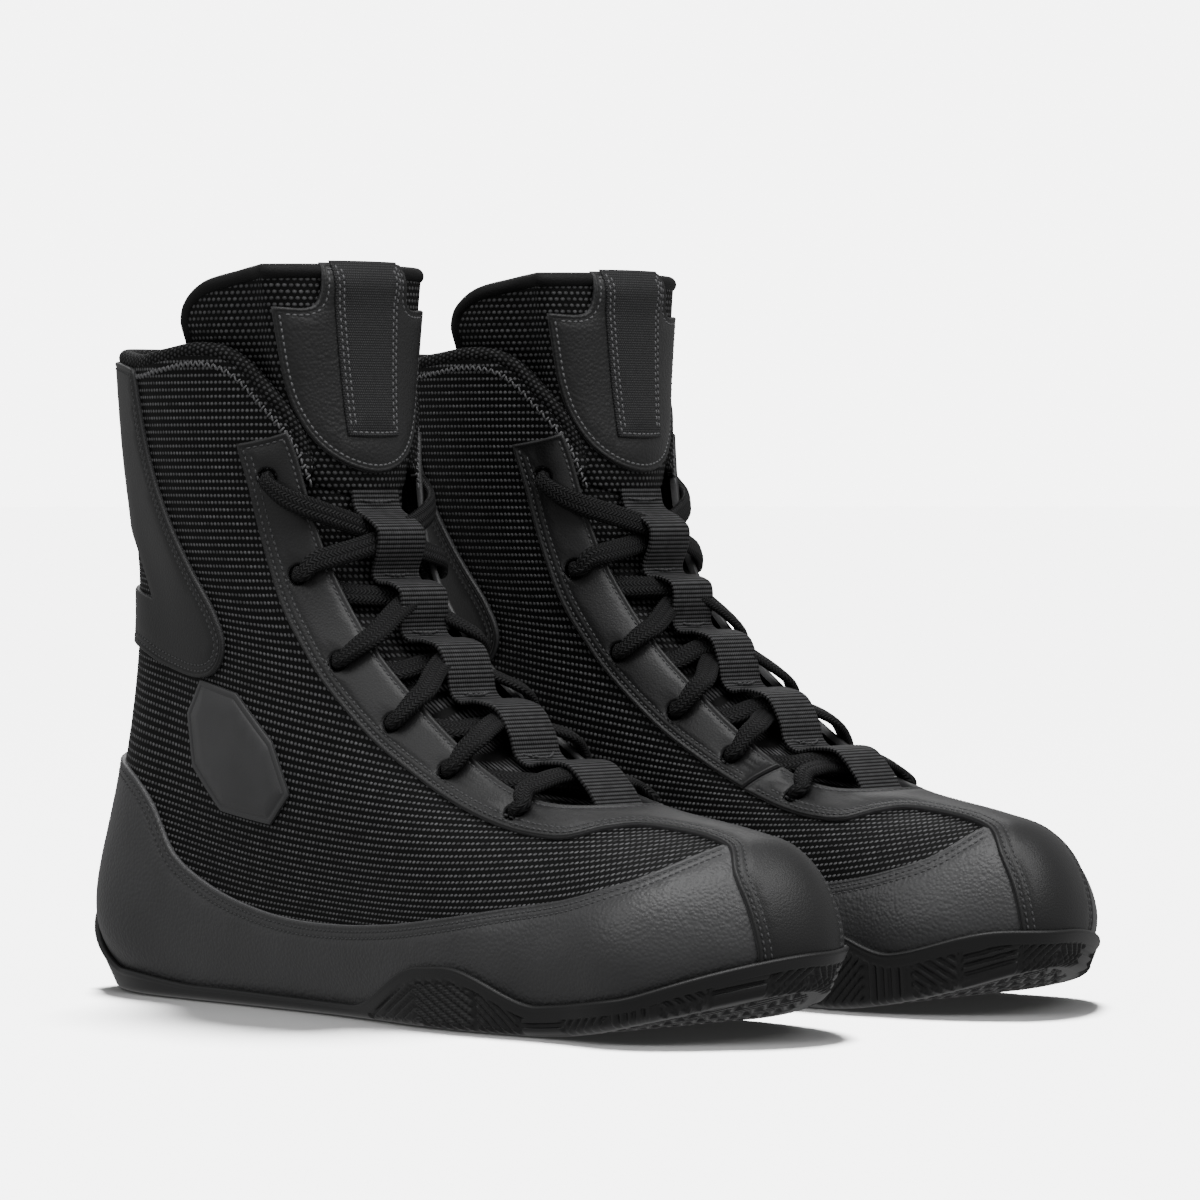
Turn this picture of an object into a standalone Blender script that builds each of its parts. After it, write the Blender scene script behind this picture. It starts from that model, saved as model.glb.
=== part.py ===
"""A pair of lace-up boxing boots, modelled piece by piece.

The frame is in metres with +Z up: the toes point along -Y, the right boot stands at -X and the left
boot, its mirror image, at +X. The origin is the bottom centre of the pair's bounding box.

Each boot is first laid out in its own millimetre coordinates: s runs from heel to toe, q points to the
outer (lateral) side and z is the height. The outside of the upper is one lofted surface with two
coordinates: u is 0 at the back of the heel and 1 at the toe or shin, positive on the outer side, and v
climbs from 0 at the sole edge to 1 at the collar. Every shell, panel, hole and stitch-down is an outline
on that surface with a depth beneath or above it.
"""
import math

import bpy
import numpy as np
from mathutils import Vector
from mathutils.geometry import delaunay_2d_cdt

MM = 0.001

# Stance of the pair, in mm
ANKLE_SPACING = 123.0
TOE_OUT = math.radians(2.2)
ANKLE_S = 112.0
HEEL_Y = 139.5

# The lofted surface: stations along each ring, as fractions of its length and as values of u
STATIONS = (0, .05, .17, .33, .5, .67, .83, .95, 1)
STATION_U = (0, .08, .2, .35, .5, .65, .8, .93, 1)
# Each ring: v, s at its two ends, z at the nine stations, then the outer and inner half-widths at the
# seven stations between the ends
RINGS = (
    (0.00, -2.0, 284.0, (9, 7.5, 6.5, 6.5, 6.5, 7, 10, 17, 22),
     (20, 28.5, 30.5, 35, 41.5, 38, 25), (20, 28, 26.5, 29, 39, 43, 32)),
    (0.10, -7.5, 286.5, (25, 23.5, 20.5, 18.5, 18, 18.5, 22.5, 27.5, 30),
     (25, 31.5, 33.5, 37.5, 43, 41, 27), (25, 31, 29.5, 31.5, 41.5, 45, 34.5)),
    (0.22, -4.0, 278.5, (50, 48, 43, 37, 34, 34, 38, 46, 50),
     (24, 31, 34, 38, 42, 37.5, 23), (24, 30.5, 31, 34, 40.5, 42, 30)),
    (0.34, 1.0, 258.0, (71, 69, 64, 58, 54, 53, 55, 58, 60),
     (21.5, 29.5, 34, 36.5, 38, 29, 12), (21.5, 29, 31.5, 33, 36, 36, 23)),
    (0.46, 5.5, 224.0, (96, 94, 89.5, 83.5, 78, 73.5, 69.5, 66.5, 66),
     (19, 28, 33.5, 35, 32.5, 24, 9), (19, 28, 32, 33, 31.5, 27, 16)),
    (0.58, 8.0, 187.0, (122, 120.5, 116.5, 111, 104, 96.5, 89, 83, 80),
     (17, 26, 32, 33.5, 30.5, 23, 11), (17, 26, 31.5, 32.5, 29, 23.5, 14)),
    (0.70, 8.0, 153.0, (147, 145, 141, 135, 128, 119, 110.5, 104.5, 102.5),
     (16.5, 26, 32.5, 34, 31.5, 24, 13), (16.5, 26, 32, 33, 30.5, 24, 13.5)),
    (0.84, 6.5, 125.0, (172, 170.5, 167.5, 162.5, 155.5, 147, 138.5, 132.5, 130.5),
     (17, 27.5, 34, 36.5, 34, 26.5, 14.5), (17, 27.5, 33.5, 35.5, 33.5, 26.5, 14.5)),
    (1.00, 5.5, 110.5, (203, 203, 202, 199, 194, 186, 178, 173.5, 172),
     (18, 29, 36, 38.5, 37, 31, 19), (18, 29, 35.5, 38, 36.5, 31, 19)),
    (1.18, 6.0, 106.5, (222,) * 9,
     (19, 30, 37, 40, 39.5, 36, 25), (19, 30, 37, 40, 39.5, 36, 25)),
)
# The foot's centre line bends to the inner side in front of the ankle
BEND_START, BEND_LENGTH, BEND = 120.0, 160.0, 9.8

# Depths of the layers under (-) and over (+) the lofted surface: bottom and top, in mm
OVERLAY = (0.0, 1.3)
QUARTER = (-2.7, -1.4)
STIFFENER = (-4.9, -4.0)
COLLAR_FOAM = (-5.2, -3.9)
LINING = (-7.8, -6.6)
TONGUE_THICKNESS = 4.0
TONGUE_FRONT, TONGUE_TOP_FRONT = -6.3, -1.2
TONGUE_WING, TONGUE_TOP_WING = -9.0, -6.4
SHIELD_THICKNESS, LABEL_THICKNESS = 1.2, 1.0
TRIM_GAP, LABEL_GAP = 0.9, 1.3
WEBBING_THICKNESS, WEBBING_WIDTH = 1.1, 19.0

# Sole, in mm
GROUND_END = 218.0
TOE_SPRING = 16.0
SOLE_FLOOR = 2.9
SOLE_GAP = 0.4
SOLE_WALL = (2.3, 3.6)
FOOTBED = 3.2

# Lacing: eyelets from the top row to the bottom one, as (u, v)
EYELETS = ((.779, .942), (.769, .814), (.716, .662), (.728, .566), (.760, .495), (.803, .420))
EYELET_RADIUS = 3.2
LACE_RADIUS = 1.5
LACE_BEND = 2.8
CROSSINGS = (.905, .825, .735, .640, .540)
THROAT = .87
TONGUE_CREASE = ((.5, 1.005), (.65, 1.0), (.8, .985), (.9, .972), (1.0, .968))
CREASE_GAP = .006


# ---------------------------------------------------------------- the lofted surface

def bend(s):
    """Sideways shift of the centre line at s, negative to the inner side."""
    return -BEND * np.clip((np.asarray(s, float) - BEND_START) / BEND_LENGTH, 0, None) ** 1.5


def ring_points():
    """Control points of every ring, all the way round, as an array (ring, station, 3)."""
    rings = []
    last = len(STATIONS) - 1
    for _, heel_s, toe_s, heights, outer, inner in RINGS:
        along = [heel_s + (toe_s - heel_s) * t for t in STATIONS]
        outer_q = [0.0, *outer, float(bend(toe_s))]
        ring = [(along[k], outer_q[k], heights[k]) for k in range(last + 1)]
        ring += [(along[k], -inner[k - 1], heights[k]) for k in range(last - 1, 0, -1)]
        rings.append(ring)
    return np.array(rings, float)


def spline_weights(x, knots, period=None):
    """Weights of a cubic spline through the knots, one row per x; closed when a period is given."""
    knots = np.asarray(knots, float)
    count = len(knots)
    closed = period is not None
    gaps = np.diff(np.append(knots, knots[0] + period)) if closed else np.diff(knots)
    left, right = np.eye(count), np.zeros((count, count))
    for i in range(count) if closed else range(1, count - 1):
        before, after = gaps[i - 1], gaps[i]
        nxt = (i + 1) % count
        left[i] = 0
        left[i, i - 1] += before
        left[i, i] += 2 * (before + after)
        left[i, nxt] += after
        right[i, i - 1] += 6 / before
        right[i, i] -= 6 / before + 6 / after
        right[i, nxt] += 6 / after
    curvature = np.linalg.solve(left, right)
    x = np.asarray(x, float)
    if closed:
        x = np.mod(x - knots[0], period) + knots[0]
    cell = np.clip(np.searchsorted(knots, x, side="right") - 1, 0, len(gaps) - 1)
    gap = gaps[cell]
    b = (x - knots[cell]) / gap
    a = 1 - b
    eye = np.eye(count)
    upper = (cell + 1) % count
    smooth = (a ** 3 - a)[:, None] * curvature[cell] + (b ** 3 - b)[:, None] * curvature[upper]
    return a[:, None] * eye[cell] + b[:, None] * eye[upper] + smooth * (gap ** 2 / 6)[:, None]


NET = ring_points()
RING_V = [ring[0] for ring in RINGS]
RING_U = [*STATION_U, *(2 - u for u in STATION_U[-2:0:-1])]


def surface(u, v):
    """Points (s, q, z) of the lofted surface."""
    u, v = np.broadcast_arrays(np.asarray(u, float), np.asarray(v, float))
    across = spline_weights(u.ravel(), RING_U, 2.0)
    up = spline_weights(v.ravel(), RING_V)
    return np.einsum("ni,nj,ijk->nk", up, across, NET).reshape(u.shape + (3,))


def lifted(u, v, depth):
    """Points at a depth under (-) or a height over (+) the lofted surface."""
    u, v, depth = np.broadcast_arrays(*(np.asarray(x, float) for x in (u, v, depth)))
    step = 1e-3
    along = surface(u + step, v) - surface(u - step, v)
    up = surface(u, v + step) - surface(u, v - step)
    normal = np.cross(up, along)
    normal /= np.linalg.norm(normal, axis=-1, keepdims=True)
    return surface(u, v) + normal * depth[..., None]


# Panels take their inner points from these lines, so that stacked layers bend at the same places
GRID_U = (0, .05, .10, .16, .26, .40, .55, .68, .78, .86, .92, .96, 1.0)
GRID_V = (0, .07, .15, .23, .31, .39, .50, .64, .80, .95, 1.08, 1.16)
THROAT_V = (.39, .445, .50, .57, .64, .72, .80, .875, .95, 1.08, 1.16)
FLAT_HEIGHT = 190.0
MAP_U = np.linspace(-2, 2, 401)
MAP_V = np.linspace(-.06, 1.26, 45)


def map_lengths():
    grid = surface(*np.meshgrid(MAP_U, MAP_V))
    steps = np.linalg.norm(np.diff(grid, axis=1), axis=2)
    lengths = np.concatenate([np.zeros((len(MAP_V), 1)), np.cumsum(steps, axis=1)], axis=1)
    return lengths - lengths[:, [len(MAP_U) // 2]]


MAP_X = map_lengths()


class FlatMap:
    """The upper laid flat: x is the length along a ring from the line u = middle, y the height in v.

    Outlines are rounded, cut and filled here, so that their triangles have even sizes.
    """

    def __init__(self, middle, rows):
        self.middle = middle
        around = [*(-u for u in GRID_U[:0:-1]), *GRID_U]
        around = [u + turn for turn in (-2, 0, 2) for u in around[1:]]
        self.grid = [np.array(self.flat(u, v)) for v in rows for u in around if abs(u) <= 1.6]

    def row(self, v):
        place = np.clip((v - MAP_V[0]) / (MAP_V[1] - MAP_V[0]), 0, len(MAP_V) - 1.001)
        low = int(place)
        lengths = MAP_X[low] + (MAP_X[low + 1] - MAP_X[low]) * (place - low)
        return lengths - np.interp(self.middle, MAP_U, lengths)

    def flat(self, u, v):
        return float(np.interp(u, MAP_U, self.row(v))), v * FLAT_HEIGHT

    def place(self, x, y):
        v = y / FLAT_HEIGHT
        return float(np.interp(x, self.row(v), MAP_U)), v

    def outline(self, points, corners=(), spacing=9.0):
        """A closed outline through (u, v) points, rounded everywhere but at the listed corners."""
        knots = [np.array(self.flat(*point)) for point in points]
        count = len(knots)
        dense = []
        for i in range(count):
            nxt = (i + 1) % count
            start, end = knots[i], knots[nxt]
            leave = end - start if i in corners else (end - knots[i - 1]) / 2
            arrive = end - start if nxt in corners else (knots[(i + 2) % count] - start) / 2
            steps = max(1, round(np.linalg.norm(end - start) / spacing))
            for k in range(steps):
                t = k / steps
                dense.append(start * (2 * t ** 3 - 3 * t ** 2 + 1) + leave * (t ** 3 - 2 * t ** 2 + t)
                             + end * (3 * t ** 2 - 2 * t ** 3) + arrive * (t ** 3 - t ** 2))
        return dense

    def moved(self, x, y, across, up):
        """The flat point that many mm on the real surface from a flat point: along the ring and upward."""
        near = (x, x + 1, x), (y, y, y + 1)
        here, beside, above = (surface(*self.place(a, b)) for a, b in zip(*near))
        along, rise = beside - here, above - here
        width = np.linalg.norm(along)
        shear = rise @ along / width
        height = math.sqrt(rise @ rise - shear ** 2)
        return np.array((x + (across - up * shear / height) / width, y + up / height))

    def circle(self, u, v, radius, sides=8):
        angles = [2 * math.pi * k / sides for k in range(sides)]
        return [self.moved(*self.flat(u, v), radius * math.cos(a), radius * math.sin(a)) for a in angles]


HEEL_MAP = FlatMap(0, GRID_V)
FRONT_MAP = FlatMap(1, GRID_V)
THROAT_MAP = FlatMap(1, THROAT_V)


# ---------------------------------------------------------------- placing and making objects

def to_world(points, side):
    """Boot coordinates in mm to world metres; side is -1 for the right boot and +1 for the left."""
    points = np.asarray(points, float)
    s, q, z = points[..., 0] - ANKLE_S, points[..., 1], points[..., 2]
    forward = s * math.cos(TOE_OUT) - q * math.sin(TOE_OUT)
    outward = s * math.sin(TOE_OUT) + q * math.cos(TOE_OUT)
    x = side * (ANKLE_SPACING / 2 + outward)
    y = HEEL_Y - ANKLE_S - forward
    return np.stack([x, y, z], axis=-1) * MM


def material(name, colour, roughness, metallic=0.0):
    made = bpy.data.materials.new(name)
    made.use_nodes = True
    shader = made.node_tree.nodes["Principled BSDF"]
    shader.inputs["Base Color"].default_value = (*colour, 1)
    shader.inputs["Roughness"].default_value = roughness
    shader.inputs["Metallic"].default_value = metallic
    return made


def add_object(name, mesh_or_curve, finish, collection):
    made = bpy.data.objects.new(name, mesh_or_curve)
    made.data.materials.append(finish)
    collection.objects.link(made)
    return made


def add_mesh(name, points, faces, finish, collection, side):
    """A mesh from world points; the mirrored boot's faces are turned to keep facing out."""
    mesh = bpy.data.meshes.new(name)
    if side > 0:
        faces = [tuple(reversed(face)) for face in faces]
    mesh.from_pydata([tuple(point) for point in points], [], faces)
    mesh.update()
    return add_object(name, mesh, finish, collection)


def thicken(made, thickness):
    shell = made.modifiers.new("thickness", "SOLIDIFY")
    shell.thickness = thickness * MM
    shell.offset = 1.0
    shell.use_even_offset = False
    return made


# ---------------------------------------------------------------- outlines

def inside(point, loop):
    """Whether a flat point lies in a closed loop of flat points."""
    x, y = point
    hit = False
    for a, b in zip(loop, loop[1:] + loop[:1]):
        if (a[1] > y) != (b[1] > y) and x < a[0] + (y - a[1]) * (b[0] - a[0]) / (b[1] - a[1]):
            hit = not hit
    return hit


def loop_distance(point, loop):
    nearest = 1e9
    for a, b in zip(loop, loop[1:] + loop[:1]):
        run = b - a
        t = np.clip(np.dot(point - a, run) / max(np.dot(run, run), 1e-9), 0, 1)
        nearest = min(nearest, float(np.linalg.norm(point - a - run * t)))
    return nearest


def fill(outline, holes, clearance, grid):
    """Triangles of an outline on the flat map, with its holes left out."""
    points, edges = [], []
    for loop in (outline, *holes):
        first = len(points)
        points += loop
        edges += [(first + k, first + (k + 1) % len(loop)) for k in range(len(loop))]
    loops = (outline, *holes)
    for point in grid:
        if inside(point, outline) and not any(inside(point, hole) for hole in holes):
            if min(loop_distance(point, loop) for loop in loops) > clearance:
                points.append(point)
    made = delaunay_2d_cdt([Vector(point) for point in points], edges, [], 1, 1e-4)
    flat, triangles = made[0], made[2]
    kept = []
    for triangle in triangles:
        centre = np.mean([flat[k] for k in triangle], axis=0)
        if inside(centre, outline) and not any(inside(centre, hole) for hole in holes):
            a, b, c = (flat[k] for k in triangle)
            turn = (b - a).cross(c - a)
            kept.append(tuple(triangle) if turn > 0 else tuple(reversed(triangle)))
    used = sorted({k for triangle in kept for k in triangle})
    order = {k: place for place, k in enumerate(used)}
    return [flat[k] for k in used], [tuple(order[k] for k in triangle) for triangle in kept]


def panel(name, boot, outline, layer, finish, corners=(), holes=(), spacing=9.0, clearance=4.0,
          depth=None, layout=HEEL_MAP):
    """A sheet of one thickness cut to an outline on the upper, lying between two depths."""
    border = layout.outline(outline, corners, spacing)
    flat, triangles = fill(border, holes, clearance, layout.grid)
    places = np.array([layout.place(*point) for point in flat])
    low = layer[0] if depth is None else np.array([depth(to_front(u), v) for u, v in places])
    points = to_world(lifted(places[:, 0], places[:, 1], low), boot["side"])
    made = add_mesh(f"{boot['name']}_{name}", points, triangles, finish, boot["collection"], boot["side"])
    return thicken(made, layer[1] - layer[0])


def mirrored(outline):
    """The same outline on the other side of the boot, still anticlockwise."""
    return [(-u, v) for u, v in reversed(outline)]


def mirrored_corners(corners, count):
    return tuple(count - 1 - k for k in corners)


def loft(name, boot, rings, finish):
    """A closed solid through rings of world points that run round the boot from the toe."""
    count = len(rings[0])
    points = [point for ring in rings for point in ring]
    faces = []
    for level in range(len(rings) - 1):
        low, high = level * count, (level + 1) * count
        for k in range(count):
            n = (k + 1) % count
            faces.append((low + k, low + n, high + n, high + k))
    top = (len(rings) - 1) * count
    for k in range(count // 2):
        across = dict.fromkeys((k, k + 1, (count - k - 1) % count, (count - k) % count))
        faces.append(tuple(reversed(across)))
        faces.append(tuple(top + j for j in across))
    return add_mesh(f"{boot['name']}_{name}", points, faces, finish, boot["collection"], boot["side"])


def tube(name, boot, points, radius, finish):
    """A round tube with filled caps along world points."""
    curve = bpy.data.curves.new(name, "CURVE")
    curve.dimensions = "3D"
    curve.bevel_depth = radius * MM
    curve.bevel_resolution = 2
    curve.use_fill_caps = True
    line = curve.splines.new("POLY")
    line.points.add(len(points) - 1)
    for knot, point in zip(line.points, points):
        knot.co = (*point, 1)
    return add_object(f"{boot['name']}_{name}", curve, finish, boot["collection"])


def blend(x, stops):
    """Piecewise smooth value of x through (x, value) stops."""
    for (x0, y0), (x1, y1) in zip(stops, stops[1:]):
        if x <= x1:
            t = min(max((x - x0) / (x1 - x0), 0), 1)
            return y0 + (y1 - y0) * t * t * (3 - 2 * t)
    return stops[-1][1]


# ---------------------------------------------------------------- sole and footbed

SOLE_POINTS = 60
# Height of the sole's lip round the boot, as (u, v): a wave on each side of the midfoot
OUTER_LIP = ((0, .10), (.06, .055), (.12, .014), (.25, -.008), (.48, -.014), (.54, .03), (.61, .105),
             (.65, .108), (.71, .035), (.77, .012), (.87, .014), (.93, .024), (.965, .045), (1.0, .07))
INNER_LIP = ((0, .10), (.06, .055), (.12, .014), (.25, -.008), (.50, -.010), (.60, .07), (.69, .145),
             (.74, .150), (.80, .095), (.84, .064), (.89, .072), (.94, .086), (.975, .080), (1.0, .07))
CONTACT_INSET = -3.5
TREAD_EDGE_HEIGHT = 2.4


def sole_height(s):
    """Height of the sole's underside: flat, with the toe sprung up."""
    rise = np.clip((np.asarray(s, float) - GROUND_END) / (286.0 - GROUND_END), 0, None)
    return TOE_SPRING * rise ** 1.8


def around():
    """Values of u round the boot, from the toe along the inner side and back."""
    return np.array([-1 + 2 * k / SOLE_POINTS for k in range(SOLE_POINTS)])


def lip_height(u):
    return blend(abs(u), OUTER_LIP if u >= 0 else INNER_LIP)


def at_height(points, height):
    points = points.copy()
    points[:, 2] = height
    return points


def outsole(boot, finish):
    u = around()
    lip = np.array([lip_height(x) for x in u])
    edge = lifted(u, 0 * u, CONTACT_INSET)
    side = lifted(u, 0 * u, SOLE_WALL[1] - 1.0)
    floor_edge = lifted(u, np.minimum(0, lip - .008), SOLE_WALL[0])
    ground = sole_height(edge[:, 0])
    rings = [
        at_height(edge, ground),
        at_height(side, sole_height(side[:, 0]) + TREAD_EDGE_HEIGHT),
        lifted(u, lip - .006, SOLE_WALL[1]),
        lifted(u, lip, (SOLE_WALL[0] + SOLE_WALL[1]) / 2 + .2),
        lifted(u, lip - .003, SOLE_WALL[0]),
        at_height(floor_edge, sole_height(floor_edge[:, 0]) + SOLE_FLOOR),
    ]
    return loft("outsole", boot, [to_world(ring, boot["side"]) for ring in rings], finish)


def slab(name, boot, inset, low, high, finish):
    """A flat layer over the sole's underside, its edge set in from the upper's lower edge."""
    u = around()
    edge = lifted(u, 0 * u, inset)
    rings = [at_height(edge, low(edge[:, 0])), at_height(edge, high(edge[:, 0]))]
    return loft(name, boot, [to_world(ring, boot["side"]) for ring in rings], finish)


def seat(s):
    """Height of the upper's lower edge above the sole's underside at s, less a gap."""
    return sole_height(s) + 5.4


def footbed(boot, finishes):
    base = SOLE_FLOOR + SOLE_GAP
    slab("midsole", boot, -.6, lambda s: sole_height(s) + base, lambda s: seat(s) - .3, finishes["foam"])
    slab("insole_board", boot, -10.5, seat, lambda s: seat(s) + 1.4, finishes["board"])
    slab("insole", boot, -11.5, lambda s: seat(s) + 1.8, lambda s: seat(s) + 1.8 + FOOTBED,
         finishes["insole"])


# ---------------------------------------------------------------- the upper's layers

BOTTOM = .015
COLLAR = ((0, 1.0), (.27, 1.0), (.44, 1.03), (.59, 1.074), (.68, 1.080), (.745, 1.065))
RAND_TOP = ((.01, .370), (.08, .366), (.13, .355), (.175, .320), (.22, .243), (.28, .208), (.35, .188),
            (.42, .178), (.49, .182), (.57, .197), (.65, .217), (.73, .233), (.85, .240), (.91, .252),
            (.948, .284))
EYESTAY_OUTER = ((.711, .968), (.713, .899), (.69, .80), (.645, .68), (.632, .60), (.655, .525), (.69, .475),
                 (.73, .42), (.765, .385), (.80, .366), (.84, .361), (.90, .386), (.94, .392), (.962, .345),
                 (.972, .285), (.968, .22), (.970, .16), (.972, .10), (.973, BOTTOM))
EYESTAY_INNER = ((.865, 1.006), (.877, .968), (.880, .885), (.878, .785), (.858, .67), (.842, .58),
                 (.842, .51), (.857, .468), (.89, .452), (.95, .458))
EYESTAY_SEAM = (.728, .423), (.845, .492)
WRAP_EDGE = ((.305, .992), (.33, .89), (.362, .81), (.395, .72), (.416, .655), (.408, .60), (.362, .552),
             (.30, .530), (.20, .530), (.10, .540))
WRAP_WINDOW = ((.17, .645), (.13, .70), (.06, .735))
BADGE = ((.26, .40), (.31, .345), (.40, .345), (.45, .40), (.45, .475), (.40, .53), (.31, .53), (.26, .475))
QUARTER_FRONT = ((.745, 1.0), (.745, .90), (.72, .80), (.675, .68), (.665, .60), (.69, .53), (.725, .475),
                 (.76, .43), (.80, .405), (.88, .405), (.98, .405))


def quarter_outline(sign_gap):
    """Half of the mesh upper, from the back seam round to the middle of the toe."""
    front = QUARTER_FRONT
    outline = [(sign_gap, BOTTOM), (.16, BOTTOM), (.40, BOTTOM), (.68, BOTTOM), (.86, BOTTOM),
               (.962, BOTTOM), (.962, .12), (.962, .24), (.962, .32)]
    outline += [*reversed(front)]
    outline += [(.72, 1.05), (.66, 1.072), (.59, 1.068), (.44, 1.03), (.27, 1.0), (sign_gap, 1.0)]
    return outline


def quarters(boot, finish):
    outline = quarter_outline(.004)
    count = len(outline)
    sharp = (0, 5, 9, count - 1)
    panel("mesh_quarter_lateral", boot, outline, QUARTER, finish, sharp, spacing=14, clearance=5)
    panel("mesh_quarter_medial", boot, mirrored(outline), QUARTER, finish, mirrored_corners(sharp, count),
          spacing=14, clearance=5)


def rands(boot, finish):
    outline = [(.004, BOTTOM), (.16, BOTTOM), (.40, BOTTOM), (.68, BOTTOM), (.86, BOTTOM), (.962, BOTTOM),
               (.960, .10), (.957, .18), (.957, .25), (.950, .284), *reversed(RAND_TOP[:-1]), (.004, .371)]
    count = len(outline)
    sharp = (0, 5, 9, count - 1)
    panel("rand_lateral", boot, outline, OVERLAY, finish, sharp, spacing=12)
    panel("rand_medial", boot, mirrored(outline), OVERLAY, finish, mirrored_corners(sharp, count),
          spacing=12)


def eyelet_holes(side, rows):
    """Eyelet outlines on the outer (+1) or inner (-1) side."""
    return [FRONT_MAP.circle(1 - side * (1 - u), v, EYELET_RADIUS) for u, v in (EYELETS[k] for k in rows)]


def eyestays(boot, finish):
    """The toe strip runs up into the outer eyestay; the inner eyestay is sewn on above the last row."""
    low_outer, low_inner = EYESTAY_SEAM
    inner_foot = [(2 - u, v) for u, v in EYESTAY_OUTER if v < low_outer[1]]
    inner_throat = [(2 - u, v) for u, v in EYESTAY_INNER if v < low_inner[1]]
    outline = [*EYESTAY_OUTER]
    outline += [*reversed(inner_foot), (2 - low_outer[0], low_outer[1]), (2 - low_inner[0], low_inner[1])]
    outline += [*inner_throat, (1.0, .462)]
    outline += [*reversed(EYESTAY_INNER)]
    toe = len(EYESTAY_OUTER)
    seam = toe + len(inner_foot)
    holes = eyelet_holes(1, range(6)) + eyelet_holes(-1, (5,))
    sharp = (0, toe - 1, toe, seam, seam + 1, len(outline) - 1)
    panel("toe_strip_and_lateral_eyestay", boot, outline, OVERLAY, finish, sharp, holes, spacing=8,
          layout=FRONT_MAP)
    gap = .006
    top = [(u, v) for u, v in EYESTAY_OUTER if v > low_outer[1]]
    throat = [(u, v) for u, v in EYESTAY_INNER if v > low_inner[1]]
    upper = [*top, (low_outer[0], low_outer[1] + gap), (low_inner[0], low_inner[1] + gap),
             *reversed(throat)]
    upper = [(2 - u, v) for u, v in reversed(upper)]
    sharp = mirrored_corners((0, len(top), len(top) + 1, len(upper) - 1), len(upper))
    panel("medial_eyestay", boot, upper, OVERLAY, finish, sharp, eyelet_holes(-1, range(5)), spacing=8,
          layout=FRONT_MAP)


def ankle_wrap(boot, finish):
    edge = WRAP_EDGE
    outline = [*reversed(edge), *[(-u, v) for u, v in edge]]
    window = [*WRAP_WINDOW, *[(-u, v) for u, v in reversed(WRAP_WINDOW)]]
    hole = HEEL_MAP.outline(window, (0, len(window) - 1), 8)
    sharp = (len(edge) - 1, len(edge))
    panel("ankle_wrap", boot, outline, OVERLAY, finish, sharp, (hole,), spacing=9)


def badges(boot, finish):
    corners = tuple(range(len(BADGE)))
    panel("badge_lateral", boot, BADGE, OVERLAY, finish, corners, spacing=10)
    panel("badge_medial", boot, mirrored(BADGE), OVERLAY, finish, corners, spacing=10)


def stiffeners(boot, finish):
    counter = [(-.30, .05), (0, .05), (.30, .05), (.30, .14), (.20, .26), (.10, .345), (0, .36),
               (-.10, .345), (-.20, .26), (-.30, .14)]
    panel("heel_counter", boot, counter, STIFFENER, finish, (0, 2), spacing=14, clearance=5)
    puff = [(.93, .08), (1.0, .08), (1.07, .08), (1.07, .15), (1.045, .21), (1.0, .235), (.955, .21),
            (.93, .15)]
    panel("toe_puff", boot, puff, STIFFENER, finish, (0, 2), spacing=9, layout=FRONT_MAP)


def linings(boot, finishes):
    front = ((.735, .96), (.735, .90), (.71, .80), (.665, .68), (.655, .60), (.68, .53), (.715, .475),
             (.75, .43), (.80, .400), (.88, .395), (.990, .395))
    half = [(.990, .05), *reversed(front), (.70, 1.03), (.66, 1.045), (.59, 1.04), (.44, 1.0), (.27, .975)]
    outline = [*half, (0, .972), *mirrored(half)]
    outline = [(0, .05), (.26, .05), (.55, .05), (.80, .05), *outline, (-.80, .05), (-.55, .05),
               (-.26, .05)]
    toe = 4
    sharp = (toe, toe + 1, len(outline) - 4, len(outline) - 5)
    panel("lining", boot, outline, LINING, finishes["lining"], sharp, spacing=18, clearance=6)
    pad = [(0, .86), (.27, .86), (.44, .885), (.60, .92), (.66, .94), (.685, 1.0), (.66, 1.04), (.59, 1.035),
           (.44, 1.0), (.27, .97), (0, .97), (-.27, .97), (-.44, 1.0), (-.59, 1.035), (-.66, 1.04),
           (-.685, 1.0), (-.66, .94), (-.60, .92), (-.44, .885), (-.27, .86)]
    panel("collar_foam", boot, pad, COLLAR_FOAM, finishes["foam"], (), spacing=16, clearance=6)


def to_front(u):
    """The same place counted from 0 at the heel to 1 at the toe, whichever side it is on."""
    return abs((u + 1) % 2 - 1)


def edge_tube(name, boot, places, depth, radius, finish, layout, spacing=12):
    """A rolled edge: a tube along (u, v) places at the depth that a function gives."""
    flat = np.array([layout.flat(*place) for place in places])
    lengths = np.concatenate([[0], np.cumsum(np.linalg.norm(np.diff(flat, axis=0), axis=1))])
    along = np.linspace(0, lengths[-1], round(lengths[-1] / spacing))
    x, y = np.interp(along, lengths, flat[:, 0]), np.interp(along, lengths, flat[:, 1])
    spots = np.array([layout.place(a, b) for a, b in zip(x, y)])
    depths = [depth(to_front(u), v) for u, v in spots]
    return tube(name, boot, to_world(lifted(spots[:, 0], spots[:, 1], depths), boot["side"]), radius,
                finish)


def collar_edge(boot, finish):
    rise = .012
    half = [(u, v + rise) for u, v in COLLAR]
    edge_tube("collar_binding", boot, [(-u, v) for u, v in reversed(half)] + half[1:],
              lambda u, v: -2.0, 1.9, finish, HEEL_MAP)


# ---------------------------------------------------------------- tongue

TONGUE_SIDE = .50
TONGUE_TOP = ((.50, 1.10), (.525, 1.15), (.60, 1.178), (.72, 1.188), (.86, 1.192), (1.0, 1.193))


def tongue_depth(u, v):
    """Depth of the tongue's outside: deep under the quarters, near the surface in the throat."""
    front = blend(v, ((.93, TONGUE_FRONT), (1.0, TONGUE_TOP_FRONT)))
    wing = blend(v, ((1.04, TONGUE_WING), (1.12, TONGUE_TOP_WING)))
    return blend(abs(u), ((.75, wing), (.89, front)))


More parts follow.
